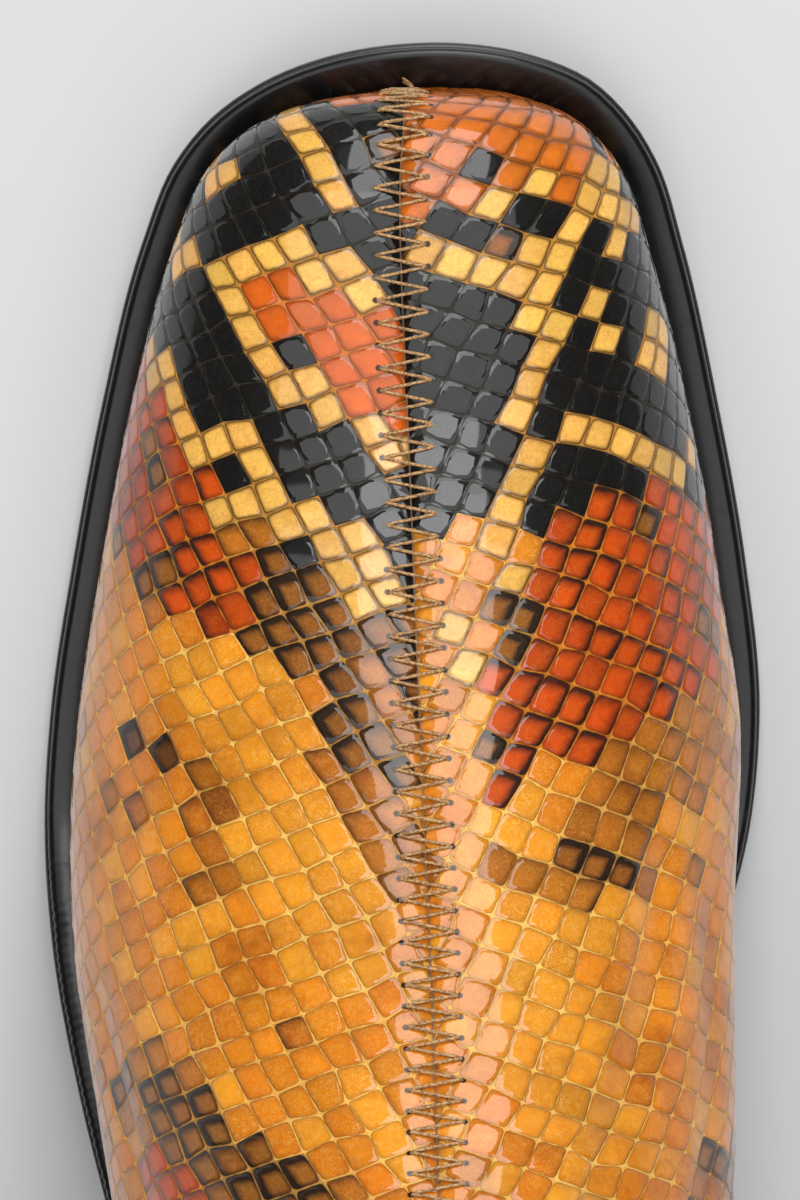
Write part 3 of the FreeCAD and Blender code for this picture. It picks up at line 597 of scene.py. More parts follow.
# %% Tones and patches
# tone: paint, groove paint, dark border, fibres, dark outline
TONES = {
    "amber": ((224, 128, 8), (240, 180, 86), 0.14, 0.62, 0.1),
    "gold": ((234, 148, 20), (244, 194, 100), 0.08, 0.6, 0.1),
    "orange": ((222, 116, 26), (160, 92, 36), 0.3, 0.4, 0.5),
    "saddle": ((222, 98, 14), (216, 130, 62), 0.2, 0.35, 0.35),
    "rust": ((202, 72, 4), (222, 136, 40), 0.8, 0.35, 0.3),
    "cream": ((248, 190, 90), (176, 118, 44), 0.1, 0.55, 0.85),
    "brown": ((142, 82, 20), (200, 146, 72), 1.5, 0.4, 0.6),
    "umber": ((184, 104, 14), (226, 168, 80), 0.45, 0.5, 0.12),
    "spot": ((96, 54, 16), (150, 104, 50), 1.5, 0.2, 0.3),
    "black": ((13, 12, 10), (52, 48, 38), 0.3, 0.07, 0.0),
}
ONE_SCALE = 2.15
CLOUDED = ("amber", "gold", "umber", "rust")
PATCHES = {
    "lateral": [
        ("umber", 9, [(22, -40), (9, -38)]), ("gold", 8, [(24, -56), (12, -30)]),
        ("brown", 7, [(31, -73), (17, -71), (4, -64)]), ("brown", 5.5, [(9, -62), (5, -50)]),
        ("black", 40, [(20, -120), (12, -120)]), ("black", 9, [(12, -84), (3, -80)]),
        ("brown", 4, [(33, -78), (25, -72)]), ("rust", 5.5, [(38, -92), (34, -85), (28, -72)]),
        ("rust", 5, [(36, -78), (30, -71)]), ("cream", 3.8, [(13, -79), (4, -71)]),
        ("orange", 2.2, [(12, -135), (2, -135)]),
        ("saddle", 5.5, [(14, -107), (3, -97)]), ("saddle", 4, [(7, -104), (1, -92)]),
        ("cream", ONE_SCALE, [(15, -131), (10, -122), (4, -120)]),
        ("cream", ONE_SCALE, [(2, -108), (8, -111), (14, -113), (22, -110), (16, -98), (8, -92),
                              (2, -89)]),
        ("cream", ONE_SCALE, [(33, -98), (30, -92), (28, -89), (22, -89), (19, -83), (24, -80)]),
        ("cream", ONE_SCALE, [(29, -113), (29.5, -112)]), ("cream", 2, [(26, -125), (25, -124)]),
        ("spot", 1.6, [(39, -49), (37, -49)]), ("spot", 1.6, [(33, -47.5), (32.5, -48)]),
        ("brown", 7, [(36, -6), (22, 2), (14, 8)]), ("rust", 4.5, [(36, 2), (26, 8)]),
    ],
    "medial": [
        ("gold", 8, [(14, -20), (20, -6)]), ("gold", 8, [(10, -36), (16, -30)]),
        ("black", 44, [(16, -122), (26, -120)]), ("rust", 12, [(32, -70), (22, -62), (28, -54)]),
        ("rust", 5, [(13, -62), (12, -50)]), ("rust", 4, [(22, -76), (20, -70)]),
        ("umber", 6, [(38, -50), (24, -42)]),
        ("orange", 7, [(4, -131), (12, -131), (20, -128)]), ("orange", 3, [(4, -121), (8, -124)]),
        ("cream", ONE_SCALE, [(20, -115), (24, -119), (27, -124)]),
        ("cream", ONE_SCALE, [(11, -119), (18, -123)]),
        ("cream", ONE_SCALE, [(29, -118), (30, -116)]),
        ("cream", ONE_SCALE, [(25, -106), (26, -102)]), ("cream", ONE_SCALE, [(33, -103), (33, -99)]),
        ("cream", ONE_SCALE, [(19, -113), (17, -107), (19, -102), (16, -93)]),
        ("cream", ONE_SCALE, [(3, -114), (15, -110)]), ("cream", 1.8, [(4, -97), (7, -97)]),
        ("cream", ONE_SCALE, [(18, -88), (15, -84), (9, -79), (12, -73)]),
        ("cream", ONE_SCALE, [(5, -68), (5, -62)]),
        ("cream", ONE_SCALE, [(23, -91), (29, -87), (37, -84)]),
        ("brown", 2.6, [(9, -38), (16, -36), (25, -34)]), ("brown", 5, [(36, 4), (42, 12)]),
    ],
}
MOTIF_START = 10.5


def distance_to_line(places, line):
    """Shortest distance of each place to a line of straight runs."""
    best = np.full(len(places), np.inf)
    for start, end in zip(line, line[1:]):
        start, run = np.array(start, float), np.array(end, float) - start
        share = np.clip(((places - start) @ run) / (run @ run), 0, 1)
        best = np.minimum(best, np.linalg.norm(places - start - share[:, None] * run, axis=1))
    return best


def motif_tones(down, across, tones):
    """Islands of dark scales with a pale chain and rust round them, in the sheet's measures."""
    wave = (np.sin(down / 13.5 + 0.7 * np.sin(across / 17)) + np.sin(across / 15 + down / 60 + 0.6)
            + 0.35 * np.sin(down / 5 + across / 7))
    for low, high, tone in ((1.3, 9, "black"), (0.98, 1.3, "cream"), (0.45, 0.98, "rust"),
                            (0.1, 0.45, "saddle"), (-1.5, -1.05, "umber"), (-9, -1.5, "brown")):
        tones[(wave >= low) & (wave < high)] = tone
    return tones


def paint_scales(name, sheet, cells, rng):
    """A tone for each scale, and the numbers that its faces carry."""
    down, across = cells.mean((1, 2)).T
    station = sheet.station(down)
    around = sheet.around(station, sheet.share(station, across))
    place = boot_point(sheet.side, station, around)
    plan = np.stack([abs(place[:, 0] - STATIONS(station)[:, 0] * (place[:, 2] > 0)), place[:, 1]], 1)
    tones = np.full(len(cells), "amber", dtype=object)
    for tone, half_width, line in PATCHES[name]:
        ragged = 0 if half_width < 3 else rng.normal(0, 1.2, len(cells))
        tones[distance_to_line(plan, line) + ragged < half_width] = tone
    back = station > MOTIF_START + rng.normal(0, 0.1, len(cells))
    tones[back] = motif_tones(down, across, tones.copy())[back]
    stray = rng.random(len(cells))
    tones[(tones == "brown") & (stray < 0.3)] = "umber"
    tones[(tones == "rust") & (stray < 0.1)] = "brown"
    tones[(tones == "black") & (stray < 0.02)] = "brown"
    tones[(tones == "amber") & (stray < 0.03)] = "umber"
    tones[(tones == "amber") & (stray > 0.8)] = "gold"
    paint = np.array([rgb(*TONES[tone][0]) for tone in tones])
    line = np.array([rgb(*TONES[tone][1]) for tone in tones])
    numbers = np.array([TONES[tone][2:] for tone in tones])
    paint[:, :3] *= rng.normal(1, 0.09, (len(cells), 1)).clip(0.7, 1.3)
    paint[:, 1] *= rng.normal(0.99, 0.04, len(cells)).clip(0.88, 1.07)
    line[:, :3] *= rng.normal(1, 0.08, (len(cells), 1))
    numbers[:, 0] *= rng.uniform(0.4, 1.3, len(cells))
    return {"scale_paint": paint, "groove_paint": line, "shade": numbers[:, 0],
            "fibre": numbers[:, 1], "outline": numbers[:, 2],
            "cloud": np.isin(tones, CLOUDED).astype(float)}


PAINT = {name: paint_scales(name, SHEETS[name], CELLS[name], rng) for name in SIDES}
print("painted scales:", sum(len(paint["shade"]) for paint in PAINT.values()))

# %% [markdown]
# ## From flat scales to the shaped panel
#
# The flat cells become a mesh whose coordinates are first station and around, because in those
# coordinates the panel's edges are straight cuts: a bisect trims the scales at the seam, at the sole
# and along the top line just as a knife would.  Then every point moves to its place on the boot, with
# its groove pressed in along the surface's normal.  A Solidify modifier gives the leather's thickness.

# %% Building a panel
GROOVE_DEPTH, CROWN = 0.15, 0.02
EDGE_ROLL, EDGE_ROLL_WIDTH = 0.35, 0.9
LEATHER_THICKNESS, SEAM_GAP = 1.5, 0.1
WAVE_DEPTH = 0.12
SHARE_SCALE = 20.0
COLLAR_STATION = 17.5
# Soft folds: side, line in the sheet's measures (down, across), depth, half width.
FOLDS = [(MEDIAL, [(120, 34), (140, 30), (165, 20)], 1.0, 3.2),
         (MEDIAL, [(128, 46), (150, 44), (172, 40)], 0.8, 4.0),
         (LATERAL, [(138, 56), (160, 50), (180, 44)], 0.7, 4.0)]


def mesh_object(name, vertices, faces, materials, smooth=True):
    """A mesh object at the origin from points in metres."""
    mesh = bpy.data.meshes.new(name)
    mesh.from_pydata([tuple(v) for v in vertices], [], [tuple(int(i) for i in f) for f in faces])
    for material in materials:
        mesh.materials.append(material)
    mesh.polygons.foreach_set("use_smooth", np.full(len(mesh.polygons), smooth))
    mesh.update()
    piece = bpy.data.objects.new(name, mesh)
    bpy.context.scene.collection.objects.link(piece)
    return piece


@contextmanager
def mesh_edit(mesh):
    """Opens a mesh for editing and turns its faces outwards when the edit is done."""
    bm = bmesh.new()
    bm.from_mesh(mesh)
    yield bm
    bmesh.ops.recalc_face_normals(bm, faces=bm.faces[:])
    bm.to_mesh(mesh)
    bm.free()


def cut(bm, point, normal):
    """Cuts a bmesh with a plane and drops what lies on the normal's side."""
    geometry = bm.verts[:] + bm.edges[:] + bm.faces[:]
    bmesh.ops.bisect_plane(bm, geom=geometry, dist=1e-5, plane_co=point, plane_no=normal,
                           clear_outer=True)


def flat_panel(sheet, cells):
    """The trimmed scales as a bmesh in (station, share of the girth * SHARE_SCALE, 0)."""
    s, t = cell_grid()
    weights = np.stack([(1 - s) * (1 - t), (1 - s) * t, s * (1 - t), s * t], -1).reshape(-1, 4)
    points = np.einsum("kw,cwd->ckd", weights, cells.reshape(-1, 4, 2))
    inner = (np.abs(s - 0.5) < 0.45) & (np.abs(t - 0.5) < 0.45)
    lift = (np.where(inner, 1.0, 0.0) + np.where((s == 0.5) & (t == 0.5), 0.5, 0)).ravel()
    station = sheet.station(points[..., 0])
    share = sheet.share(station, points[..., 1])
    flat = np.stack([station, share * SHARE_SCALE, np.zeros_like(station)], -1).reshape(-1, 3)
    corner = np.array([[i * GRID + j, i * GRID + j + 1, (i + 1) * GRID + j + 1, (i + 1) * GRID + j]
                       for i in range(GRID - 1) for j in range(GRID - 1)])
    faces = (np.arange(len(cells))[:, None, None] * GRID**2 + corner).reshape(-1, 4)
    mesh = bpy.data.meshes.new("flat")
    mesh.from_pydata(flat.tolist(), [], faces.tolist())
    mesh.attributes.new("lift", "FLOAT", "POINT").data.foreach_set("value", np.tile(lift, len(cells)))
    mesh.attributes.new("scale_number", "INT", "FACE").data.foreach_set(
        "value", np.repeat(np.arange(len(cells)), len(corner)).astype(np.int32))
    grid = mesh.uv_layers.new(name="scale")
    local = np.stack([s.ravel(), t.ravel()], -1)
    grid.data.foreach_set("uv", np.tile(local[corner].reshape(-1), len(cells)))
    bm = bmesh.new()
    bm.from_mesh(mesh)
    bpy.data.meshes.remove(mesh)
    bmesh.ops.remove_doubles(bm, verts=bm.verts[:], dist=1e-5)
    cut(bm, (0, 0, 0), (0, -1, 0))
    cut(bm, (0, SHARE_SCALE, 0), (0, 1, 0))
    cut(bm, (0, 0, 0), (-1, 0, 0))
    shift_top(sheet, bm, -1)
    cut(bm, (0, 0, 0), (1, 0, 0))
    shift_top(sheet, bm, 1)
    return bm


def shift_top(sheet, bm, direction):
    """Moves the top line to station 0 (direction -1) so that one plane trims it, or back (1)."""
    shares = np.array([vertex.co.y for vertex in bm.verts]) / SHARE_SCALE
    tops = top_station(sheet.around(np.full(len(shares), COLLAR_STATION), shares))
    for vertex, top in zip(bm.verts, tops):
        vertex.co.x += direction * float(top)


def fold_depth(side, down, across):
    depth = np.zeros(len(down))
    for fold_side, line, deep, half_width in FOLDS:
        if fold_side == side:
            away = distance_to_line(np.stack([down, across], 1), line)
            depth += deep * np.exp(-(away / half_width) ** 2)
    return depth


def panel(name, side):
    sheet = SHEETS[name]
    bm = flat_panel(sheet, CELLS[name])
    mesh = bpy.data.meshes.new(f"{name}_leather")
    bm.to_mesh(mesh)
    bm.free()
    count = len(mesh.vertices)
    flat = np.empty(count * 3, np.float32)
    mesh.vertices.foreach_get("co", flat)
    lift = np.empty(count, np.float32)
    mesh.attributes["lift"].data.foreach_get("value", lift)
    station = flat[0::3].astype(float).clip(0, TOP_STATION)
    share = (flat[1::3].astype(float) / SHARE_SCALE).clip(0, 1)
    around = sheet.around(station, share)
    across = share * np.interp(station, FINE_STATIONS, sheet.girth)
    down = np.interp(station, FINE_STATIONS, sheet.down)
    press = np.where(lift < 1, (1 - lift) * GROOVE_DEPTH, -CROWN * (lift - 1) * 2)
    press = press + EDGE_ROLL * np.exp(-across / EDGE_ROLL_WIDTH) + fold_depth(side, down, across)
    press = press + WAVE_DEPTH * np.sin(down / 6.3 + across / 9) * np.sin(across / 7.7 - down / 17)
    place = boot_point(side, station, around, gap=SEAM_GAP)
    place = place - outward(side, station, around) * press[:, None]
    mesh.vertices.foreach_set("co", (place * MM).astype(np.float32).ravel())
    if side == LATERAL:
        mesh.flip_normals()
    number = np.empty(len(mesh.polygons), np.int32)
    mesh.attributes["scale_number"].data.foreach_get("value", number)
    for title, values in PAINT[name].items():
        kind = "FLOAT_COLOR" if values.ndim == 2 else "FLOAT"
        data = mesh.attributes.new(title, kind, "FACE").data
        data.foreach_set("color" if values.ndim == 2 else "value", values[number].ravel())
    corners = np.empty(len(mesh.loops), np.int32)
    mesh.loops.foreach_get("vertex_index", corners)
    stitches = sheet.seam_length(station) / STITCH_PITCH + (0.5 if side == LATERAL else 0)
    seam = mesh.uv_layers.new(name="seam")
    seam.data.foreach_set("uv", np.stack([stitches, across], 1)[corners].astype(np.float32).ravel())
    ends = np.empty(len(mesh.edges) * 2, np.int32)
    mesh.edges.foreach_get("vertices", ends)
    rim = (abs(lift - 1) < 0.01)[ends].reshape(-1, 2).all(1)
    mesh.attributes.new("sharp_edge", "BOOLEAN", "EDGE").data.foreach_set("value", rim)
    for title in ("lift", "scale_number"):
        mesh.attributes.remove(mesh.attributes[title])
    mesh.polygons.foreach_set("use_smooth", np.ones(len(mesh.polygons), bool))
    mesh.materials.append(SCALE_LEATHER.material)
    mesh.materials.append(FLESH_SIDE.material)
    piece = bpy.data.objects.new(f"{name}_leather", mesh)
    bpy.context.scene.collection.objects.link(piece)
    wall = piece.modifiers.new("thickness", "SOLIDIFY")
    wall.thickness = LEATHER_THICKNESS * MM
    wall.offset = -1
    wall.material_offset = wall.material_offset_rim = 1
    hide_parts(f"{name}_panel")
    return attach(piece, "boot")


def flesh_side():
    """The raw inside and cut edge of the leather: short, pale, uneven nap."""
    raw = Finish("flesh_side", Roughness=0.85)
    lumps = raw.noise(900, 4)
    raw.set(Base_Color=raw.mix(lumps, rgb(176, 108, 48), rgb(214, 158, 92)))
    return raw.bump(lumps, 0.0001)


FLESH_SIDE = flesh_side()
PANELS = {name: panel(name, side) for name, side in SIDES.items()}
for name, piece in PANELS.items():
    print(name, "panel:", len(piece.data.polygons), "faces before thickness")

# %% [markdown]
# ## Threads
#
# The two halves meet edge to edge and are closed with a wide zig-zag stitch.  Painted thread would
# look flat under the varnish's highlights, so the thread is a real curve with a round bevel: it comes
# up from a needle hole on one side, crosses the seam and dives into a hole on the other side.  Straight
# stitches elsewhere are short curves of the same kind.

# %% Thread finish and the zig-zag seam
THREAD_RADIUS = 0.23
DIVE, RISE, CREST = 0.35, 0.24, 0.16
CROWDED_STARTS, CROWDED_STEP, CROWDED_WIDTH = (1.6, 2.3), 0.35, 0.8
HAND_WANDER = 0.05


def thread_finish():
    """Waxed tan thread: light and dark tan are painted shade and highlight of its twisted plies."""
    thread = Finish("seam_thread", Roughness=0.6)
    twist_relief_and_shade = thread.noise(2600, 2, stretch=(1, 1.6, 1))
    # Painted shade and highlight: the dark and light tan stand for light on the plies; the same noise
    # is the relief.
    tan = thread.mix(twist_relief_and_shade.ramp(0.35, 0.65), rgb(132, 92, 52), rgb(206, 164, 112))
    return thread.set(Base_Color=tan).bump(twist_relief_and_shade, 0.00008)


SEAM_THREAD = thread_finish()


def thread_object(name, runs):
    """One curve object; each run is a list of points in millimetres."""
    curve = bpy.data.curves.new(name, "CURVE")
    curve.dimensions = "3D"
    curve.bevel_depth = THREAD_RADIUS * MM
    curve.bevel_resolution = 1
    curve.use_fill_caps = True
    for run in runs:
        spline = curve.splines.new("POLY")
        spline.points.add(len(run) - 1)
        for point, place in zip(spline.points, run):
            point.co = (*(np.asarray(place) * MM), 1)
        spline.use_smooth = True
    curve.materials.append(SEAM_THREAD.material)
    piece = bpy.data.objects.new(name, curve)
    bpy.context.scene.collection.objects.link(piece)
    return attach(piece, "boot")


def seam_place(side_name, length, across, height):
    """A place beside the front seam: length down it, distance across, height over the leather."""
    sheet = SHEETS[side_name]
    station = sheet.seam_station(length)
    around = sheet.around(station, sheet.share(station, across))
    normal = outward(sheet.side, station, around)
    return boot_point(sheet.side, station, around, gap=SEAM_GAP) + normal * height


def zigzag():
    """The seam's thread, with a few crowded stitches and a loose tail at the toe."""
    sheet = SHEETS["lateral"]
    seam_end = sheet.seam_length(float(top_station(0)))
    wander = np.random.default_rng(5)
    starts = np.append(CROWDED_STARTS, np.arange(1, int(seam_end / STITCH_PITCH)) * STITCH_PITCH)
    # The panels' edges roll in at the seam, so the thread's crest sits a little lower there.
    arch = ((0, -DIVE), (0.07, 0.1), (0.16, RISE), (0.5, RISE + CREST - 0.4 * EDGE_ROLL),
            (0.84, RISE), (0.93, 0.1))
    run = []
    for number, length in enumerate(starts):
        crowded = number < len(CROWDED_STARTS)
        width = STITCH_HALF * (CROWDED_WIDTH if crowded else 1) + wander.normal(0, HAND_WANDER)
        step = CROWDED_STEP if crowded else STITCH_PITCH / 2
        for go, (near, far) in enumerate((("lateral", "medial"), ("medial", "lateral"))):
            for share, height in arch:
                across = width * (1 - 2 * share)
                name = near if across >= 0 else far
                run.append(seam_place(name, length + go * step + step * share, abs(across), height))
    tails = [[seam_place("medial", 0.9 - 0.35 * i, 1.2 + 1.1 * i + 0.4 * k, 0.35 + 0.15 * i * (k + 1))
              for i in range(4)] for k in range(2)]
    return [run] + tails


zigzag_runs = zigzag()
thread_object("seam_zigzag", zigzag_runs)
print("zig-zag points:", len(zigzag_runs[0]))


STRAIGHT_STITCH, STRAIGHT_GAP = 2.6, 0.7
STITCH_SHOULDER, STITCH_HEIGHT, STITCH_DEPTH = 0.25, 0.12, -0.15


def stitch_row(place, length):
    """Straight stitches along a path: place(distance, height) gives points in millimetres."""
    runs = []
    for start in np.arange(1.0, length - STRAIGHT_STITCH, STRAIGHT_STITCH + STRAIGHT_GAP):
        end = start + STRAIGHT_STITCH
        runs.append([place(start, STITCH_DEPTH), place(start + STITCH_SHOULDER, STITCH_HEIGHT),
                     place(end - STITCH_SHOULDER, STITCH_HEIGHT), place(end, STITCH_DEPTH)])
    return runs


# %% [markdown]
# ## Welt, rand and outsole
#
# The welt is a strip of leather that runs round the upper; its edge is rounded, inked black and
# waxed.  A strip like this is a profile carried along the outline.  The profile is a rounded
# rectangle, and each of its points says how far in from the edge it lies and how high over the tread
# line.  At the waist the edge is wheeled: a hot wheel presses fine ribs across it.

# %% Profiles along the outline
RIB_PITCH, RIB_DEPTH = 1.35, 0.3
RIBBED_FROM, RIBBED_TO, FADE_IN, FADE_OUT, WHEELED_INSET = -34, 64, 14, 6, 1.4
FINE_STEP, COARSE_EVERY, RIB_MARGIN = 0.33, 8, 2
BREAST_Y = 68
WELT_STEP, WELT_REACH = 0.6, 6
STRIP_GAP = 0.1


def arc(centre, radius, start, end, steps=4):
    """Points of an arc (inset, height); angles in degrees, 180 points out of the boot."""
    angles = np.radians(np.linspace(start, end, steps + 1))
    return [(centre[0] + radius * math.cos(a), centre[1] + radius * math.sin(a)) for a in angles]


def outline_at(side, y):
    """Distance along the outline where one side passes a y."""
    shares = np.linspace(0.05, 0.95, 1801)
    distance = outline_distance(side, shares)
    return float(np.interp(y, OUTLINE(distance)[:, 1], distance))


def ribs(distance, y):
    """How far the wheeled ribs cut into the edge at the waist."""
    window = (np.clip((y - RIBBED_FROM) / FADE_IN, 0, 1)
              * np.clip((RIBBED_TO - y) / FADE_OUT, 0, 1))
    uneven = 0.75 + 0.25 * np.sin(distance * 0.71) * np.sin(distance * 0.23)
    return RIB_DEPTH * window * uneven * np.abs(np.sin(np.pi * distance / RIB_PITCH))


def strip(name, distances, profile, finish, closed=False, rim_inset=None, wheeled=False):
    """Carries a closed profile along the outline.

    profile holds (inset, height); points with an inset over rim_inset follow the rim's inner line.
    """
    inset = np.array([p[0] for p in profile], float)
    height = np.array([p[1] for p in profile], float)
    places = np.empty((len(distances), len(profile), 3))
    for column, (inward, up) in enumerate(zip(inset, height)):
        follow = rim_inset is not None and inward > rim_inset
        own = np.full(len(distances), inward)
        if wheeled and not follow and inward < WHEELED_INSET:
            own = own + ribs(distances, OUTLINE(distances)[:, 1])
        flat = inset_outline(distances, own, follow_rim=follow)
        places[:, column, :2] = flat
        places[:, column, 2] = tread_height(flat[:, 1]) + up
    rows, columns = places.shape[:2]
    faces = []
    for i in range(rows if closed else rows - 1):
        for j in range(columns):
            a, b = i * columns + j, i * columns + (j + 1) % columns
            c, d = ((i + 1) % rows) * columns + (j + 1) % columns, ((i + 1) % rows) * columns + j
            faces.append((a, b, c, d))
    if not closed:
        faces.append(tuple(range(columns))[::-1])
        faces.append(tuple((rows - 1) * columns + j for j in range(columns)))
    return mesh_object(name, places.reshape(-1, 3) * MM, faces, [finish.material])


def face_out(piece):
    """Turns a closed mesh's faces outwards."""
    with mesh_edit(piece.data):
        return piece


def steps_between(start, end, fine):
    """Distances from start to end, close together where the edge is wheeled."""
    dense = np.arange(start, end, FINE_STEP)
    y = OUTLINE(dense)[:, 1]
    keep = fine & (y > RIBBED_FROM - RIB_MARGIN) & (y < RIBBED_TO + RIB_MARGIN)
    keep[::COARSE_EVERY] = True
    return np.append(dense[keep], end)


def inked_edge():
    """Black edge ink under wax: nearly black, glossy, with dust specks and faint scuffs."""
    ink = Finish("inked_edge", Coat_Weight=0.2, Coat_Roughness=0.16, Specular_IOR_Level=0.3)
    specks = ink.noise(1700, 2).ramp(0.74, 0.8) * ink.noise(260, 2).ramp(0.45, 0.7)
    scuffs = ink.noise(240, 5, stretch=(1, 1, 5), rough=0.7).ramp(0.55, 0.8)
    colour = ink.mix(scuffs * 0.35, rgb(13, 12, 12), rgb(44, 41, 38))
    colour = ink.mix(specks * 0.5, colour, rgb(120, 112, 102))
    ink.set(Base_Color=colour, Roughness=0.3 + scuffs * 0.25)
    return ink.bump(ink.noise(500, 4) * 0.6 + scuffs * 0.4, 0.00006)


INKED_EDGE = inked_edge()
LATERAL_BREAST = outline_at(LATERAL, BREAST_Y)
MEDIAL_BREAST = outline_at(MEDIAL, BREAST_Y) - OUTLINE.length
TOP, LOW = SEAT_HEIGHT, OUTSOLE_THICKNESS
UPPER_ROUND, LOWER_ROUND, WELT_TUCK = 1.1, 0.7, 0.3
welt_profile = (arc((WELT_STEP + UPPER_ROUND, TOP - UPPER_ROUND), UPPER_ROUND, 180, 90)
                + [(WELT_STEP + 3.2, TOP - 0.02), (5, TOP - 0.25), (WELT_REACH + WELT_TUCK, TOP - 0.1),
                   (WELT_REACH + WELT_TUCK, LOW + 0.05)]
                + arc((WELT_STEP + LOWER_ROUND, LOW + 0.72), LOWER_ROUND, 270, 180))
welt = strip("welt_strip", steps_between(MEDIAL_BREAST, LATERAL_BREAST, True), welt_profile,
             INKED_EDGE, rim_inset=WELT_REACH, wheeled=True)
rand = strip("heel_rand_strip", steps_between(LATERAL_BREAST + STRIP_GAP,
                                              MEDIAL_BREAST + OUTLINE.length - STRIP_GAP, False),
             welt_profile, INKED_EDGE, rim_inset=WELT_REACH)
for piece, node in ((welt, "welt"), (rand, "heel_rand")):
    face_out(piece)
    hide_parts(node)
    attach(piece, "boot")
print("welt faces:", len(welt.data.polygons))

# %% [markdown]
# The outsole is one thick leather.  Its edge is a rounded profile round the whole outline, and its two
# faces are ladders of long quads between the lateral and the medial edge.  The tread line only depends
# on y, so a rung that runs straight across lies exactly on it.

# %% Outsole


def outsole_finish():
    """Sole leather, black at the edge; the tread is scuffed where it meets the ground."""
    sole = Finish("outsole_leather", Coat_Weight=0.3, Coat_Roughness=0.25)
    height = sole.node("ShaderNodeSeparateXYZ", None, {0: sole.place()}, output=2)
    grain = sole.noise(420, 6, rough=0.65)
    wear = sole.noise(38, 4).ramp(0.4, 0.7) * (1 - height.ramp(0.0004, 0.006))
    colour = sole.mix(grain.ramp(0.5, 0.8) * 0.4, rgb(18, 17, 16), rgb(52, 48, 44))
    colour = sole.mix(wear * 0.6, colour, rgb(112, 96, 80))
    sole.set(Base_Color=colour, Roughness=0.42 + wear * 0.3)
    return sole.bump(grain, 0.00012)


OUTSOLE_LEATHER = outsole_finish()
OUTSOLE_SHARES = np.linspace(0, 1, 161)
around_lateral = outline_distance(LATERAL, OUTSOLE_SHARES)
around_medial = outline_distance(MEDIAL, OUTSOLE_SHARES[1:-1])[::-1]
EDGE_ROUND = 1.2
outsole_profile = ([(1.6, 0.0)] + arc((EDGE_ROUND, EDGE_ROUND), EDGE_ROUND, 270, 180)
                   + arc((0.8, OUTSOLE_THICKNESS - 0.83), 0.8, 180, 90)
                   + [(1.6, OUTSOLE_THICKNESS - 0.03)])


def outsole():
    distances = np.append(around_lateral, around_medial)
    edge = strip("outsole_sole", distances, outsole_profile, OUTSOLE_LEATHER, closed=True)
    columns, rows, last = len(outsole_profile), len(distances), len(OUTSOLE_SHARES) - 1
    with mesh_edit(edge.data) as bm:
        bm.verts.ensure_lookup_table()
        bmesh.ops.delete(bm, geom=[face for face in bm.faces
                                   if {v.index % columns for v in face.verts} == {0, columns - 1}],
                         context="FACES_ONLY")
        for column in (0, columns - 1):
            for i in range(last):
                ring = [i, i + 1, (rows - i - 1) % rows, (rows - i) % rows]
                corners = list(dict.fromkeys(bm.verts[k * columns + column] for k in ring))
                if bm.faces.get(corners) is None:
                    bm.faces.new(corners)
        for face in bm.faces:
            face.smooth = True
    return edge


sole = outsole()
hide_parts("outsole")
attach(sole, "boot")
print("outsole faces:", len(sole.data.polygons))

# %% [markdown]
# ## The stacked heel
#
# The heel is a pile of leather lifts, ground to one slanted shape and inked, with a rubber cap below.
# Each lift stays a piece of its own, a hair larger or smaller than its neighbour, and a Bevel modifier
# softens its edges, so the stack's lines show as they do on the real thing.

# %% Heel
HEEL_Y = 110
HEEL_RADIUS, HEEL_RADIUS_GROUND, HEEL_UNDERCUT = 29.5, 26, 8
BREAST_UNDERCUT, BREAST_HOLLOW = 3, 3
HEEL_TOP = float(tread_height(HEEL_Y))
CAP, LIFT, LIFTS = 6, 5.2, 5
BREAST_POINTS, SIDE_POINTS, BACK_POINTS = 9, 7, 15


def heel_ring(height, grow):
    """Right half of the heel's plan from the breast to the back, and its mirror, at one height."""
    low = 1 - min(height, HEEL_TOP) / HEEL_TOP
    radius = HEEL_RADIUS - (HEEL_RADIUS - HEEL_RADIUS_GROUND) * low + grow
    centre_y = HEEL_Y - HEEL_UNDERCUT * low
    front_y = BREAST_Y + BREAST_UNDERCUT * low - grow
    across = np.linspace(0, 1, BREAST_POINTS)
    half = [(radius * a, front_y + BREAST_HOLLOW * (1 - a * a)) for a in across]
    half += [(radius, front_y + (centre_y - front_y) * f) for f in np.linspace(0, 1, SIDE_POINTS)[1:]]
    half += [(radius * math.cos(a), centre_y + radius * math.sin(a))
             for a in np.linspace(0, math.pi / 2, BACK_POINTS)[1:]]
    return half


def heel_layer(name, bottom, top, grow, finish, follow_tread=False):
    """A layer between two heights; its faces are ladders of rungs straight across."""
    low, high = heel_ring(bottom, grow), heel_ring(min(top, HEEL_TOP), grow)
    vertices, count = [], len(low)
    for ring, height in ((low, bottom), (high, top)):
        for sign in (1, -1):
            for x, y in ring:
                z = tread_height(np.array(y)) - 0.02 if follow_tread and ring is high else height
                vertices.append((HEEL_X + sign * x, y, float(z)))
    faces = []
    for i in range(count - 1):
        right, left, up = i, count + i, 2 * count
        faces += [(right, right + 1, left + 1, left),
                  (up + right, up + left, up + left + 1, up + right + 1),
                  (right, up + right, up + right + 1, right + 1),
                  (left, left + 1, up + left + 1, up + left)]
    piece = mesh_object(name, np.array(vertices) * MM, faces, [finish.material])
    with mesh_edit(piece.data) as bm:
        bmesh.ops.remove_doubles(bm, verts=bm.verts[:], dist=1e-6)
    soften = piece.modifiers.new("softened edge", "BEVEL")
    soften.width, soften.segments, soften.limit_method = 0.0004, 2, "ANGLE"
    soften.angle_limit = math.radians(45)
    piece.data.set_sharp_from_angle(angle=math.radians(40))
    return piece


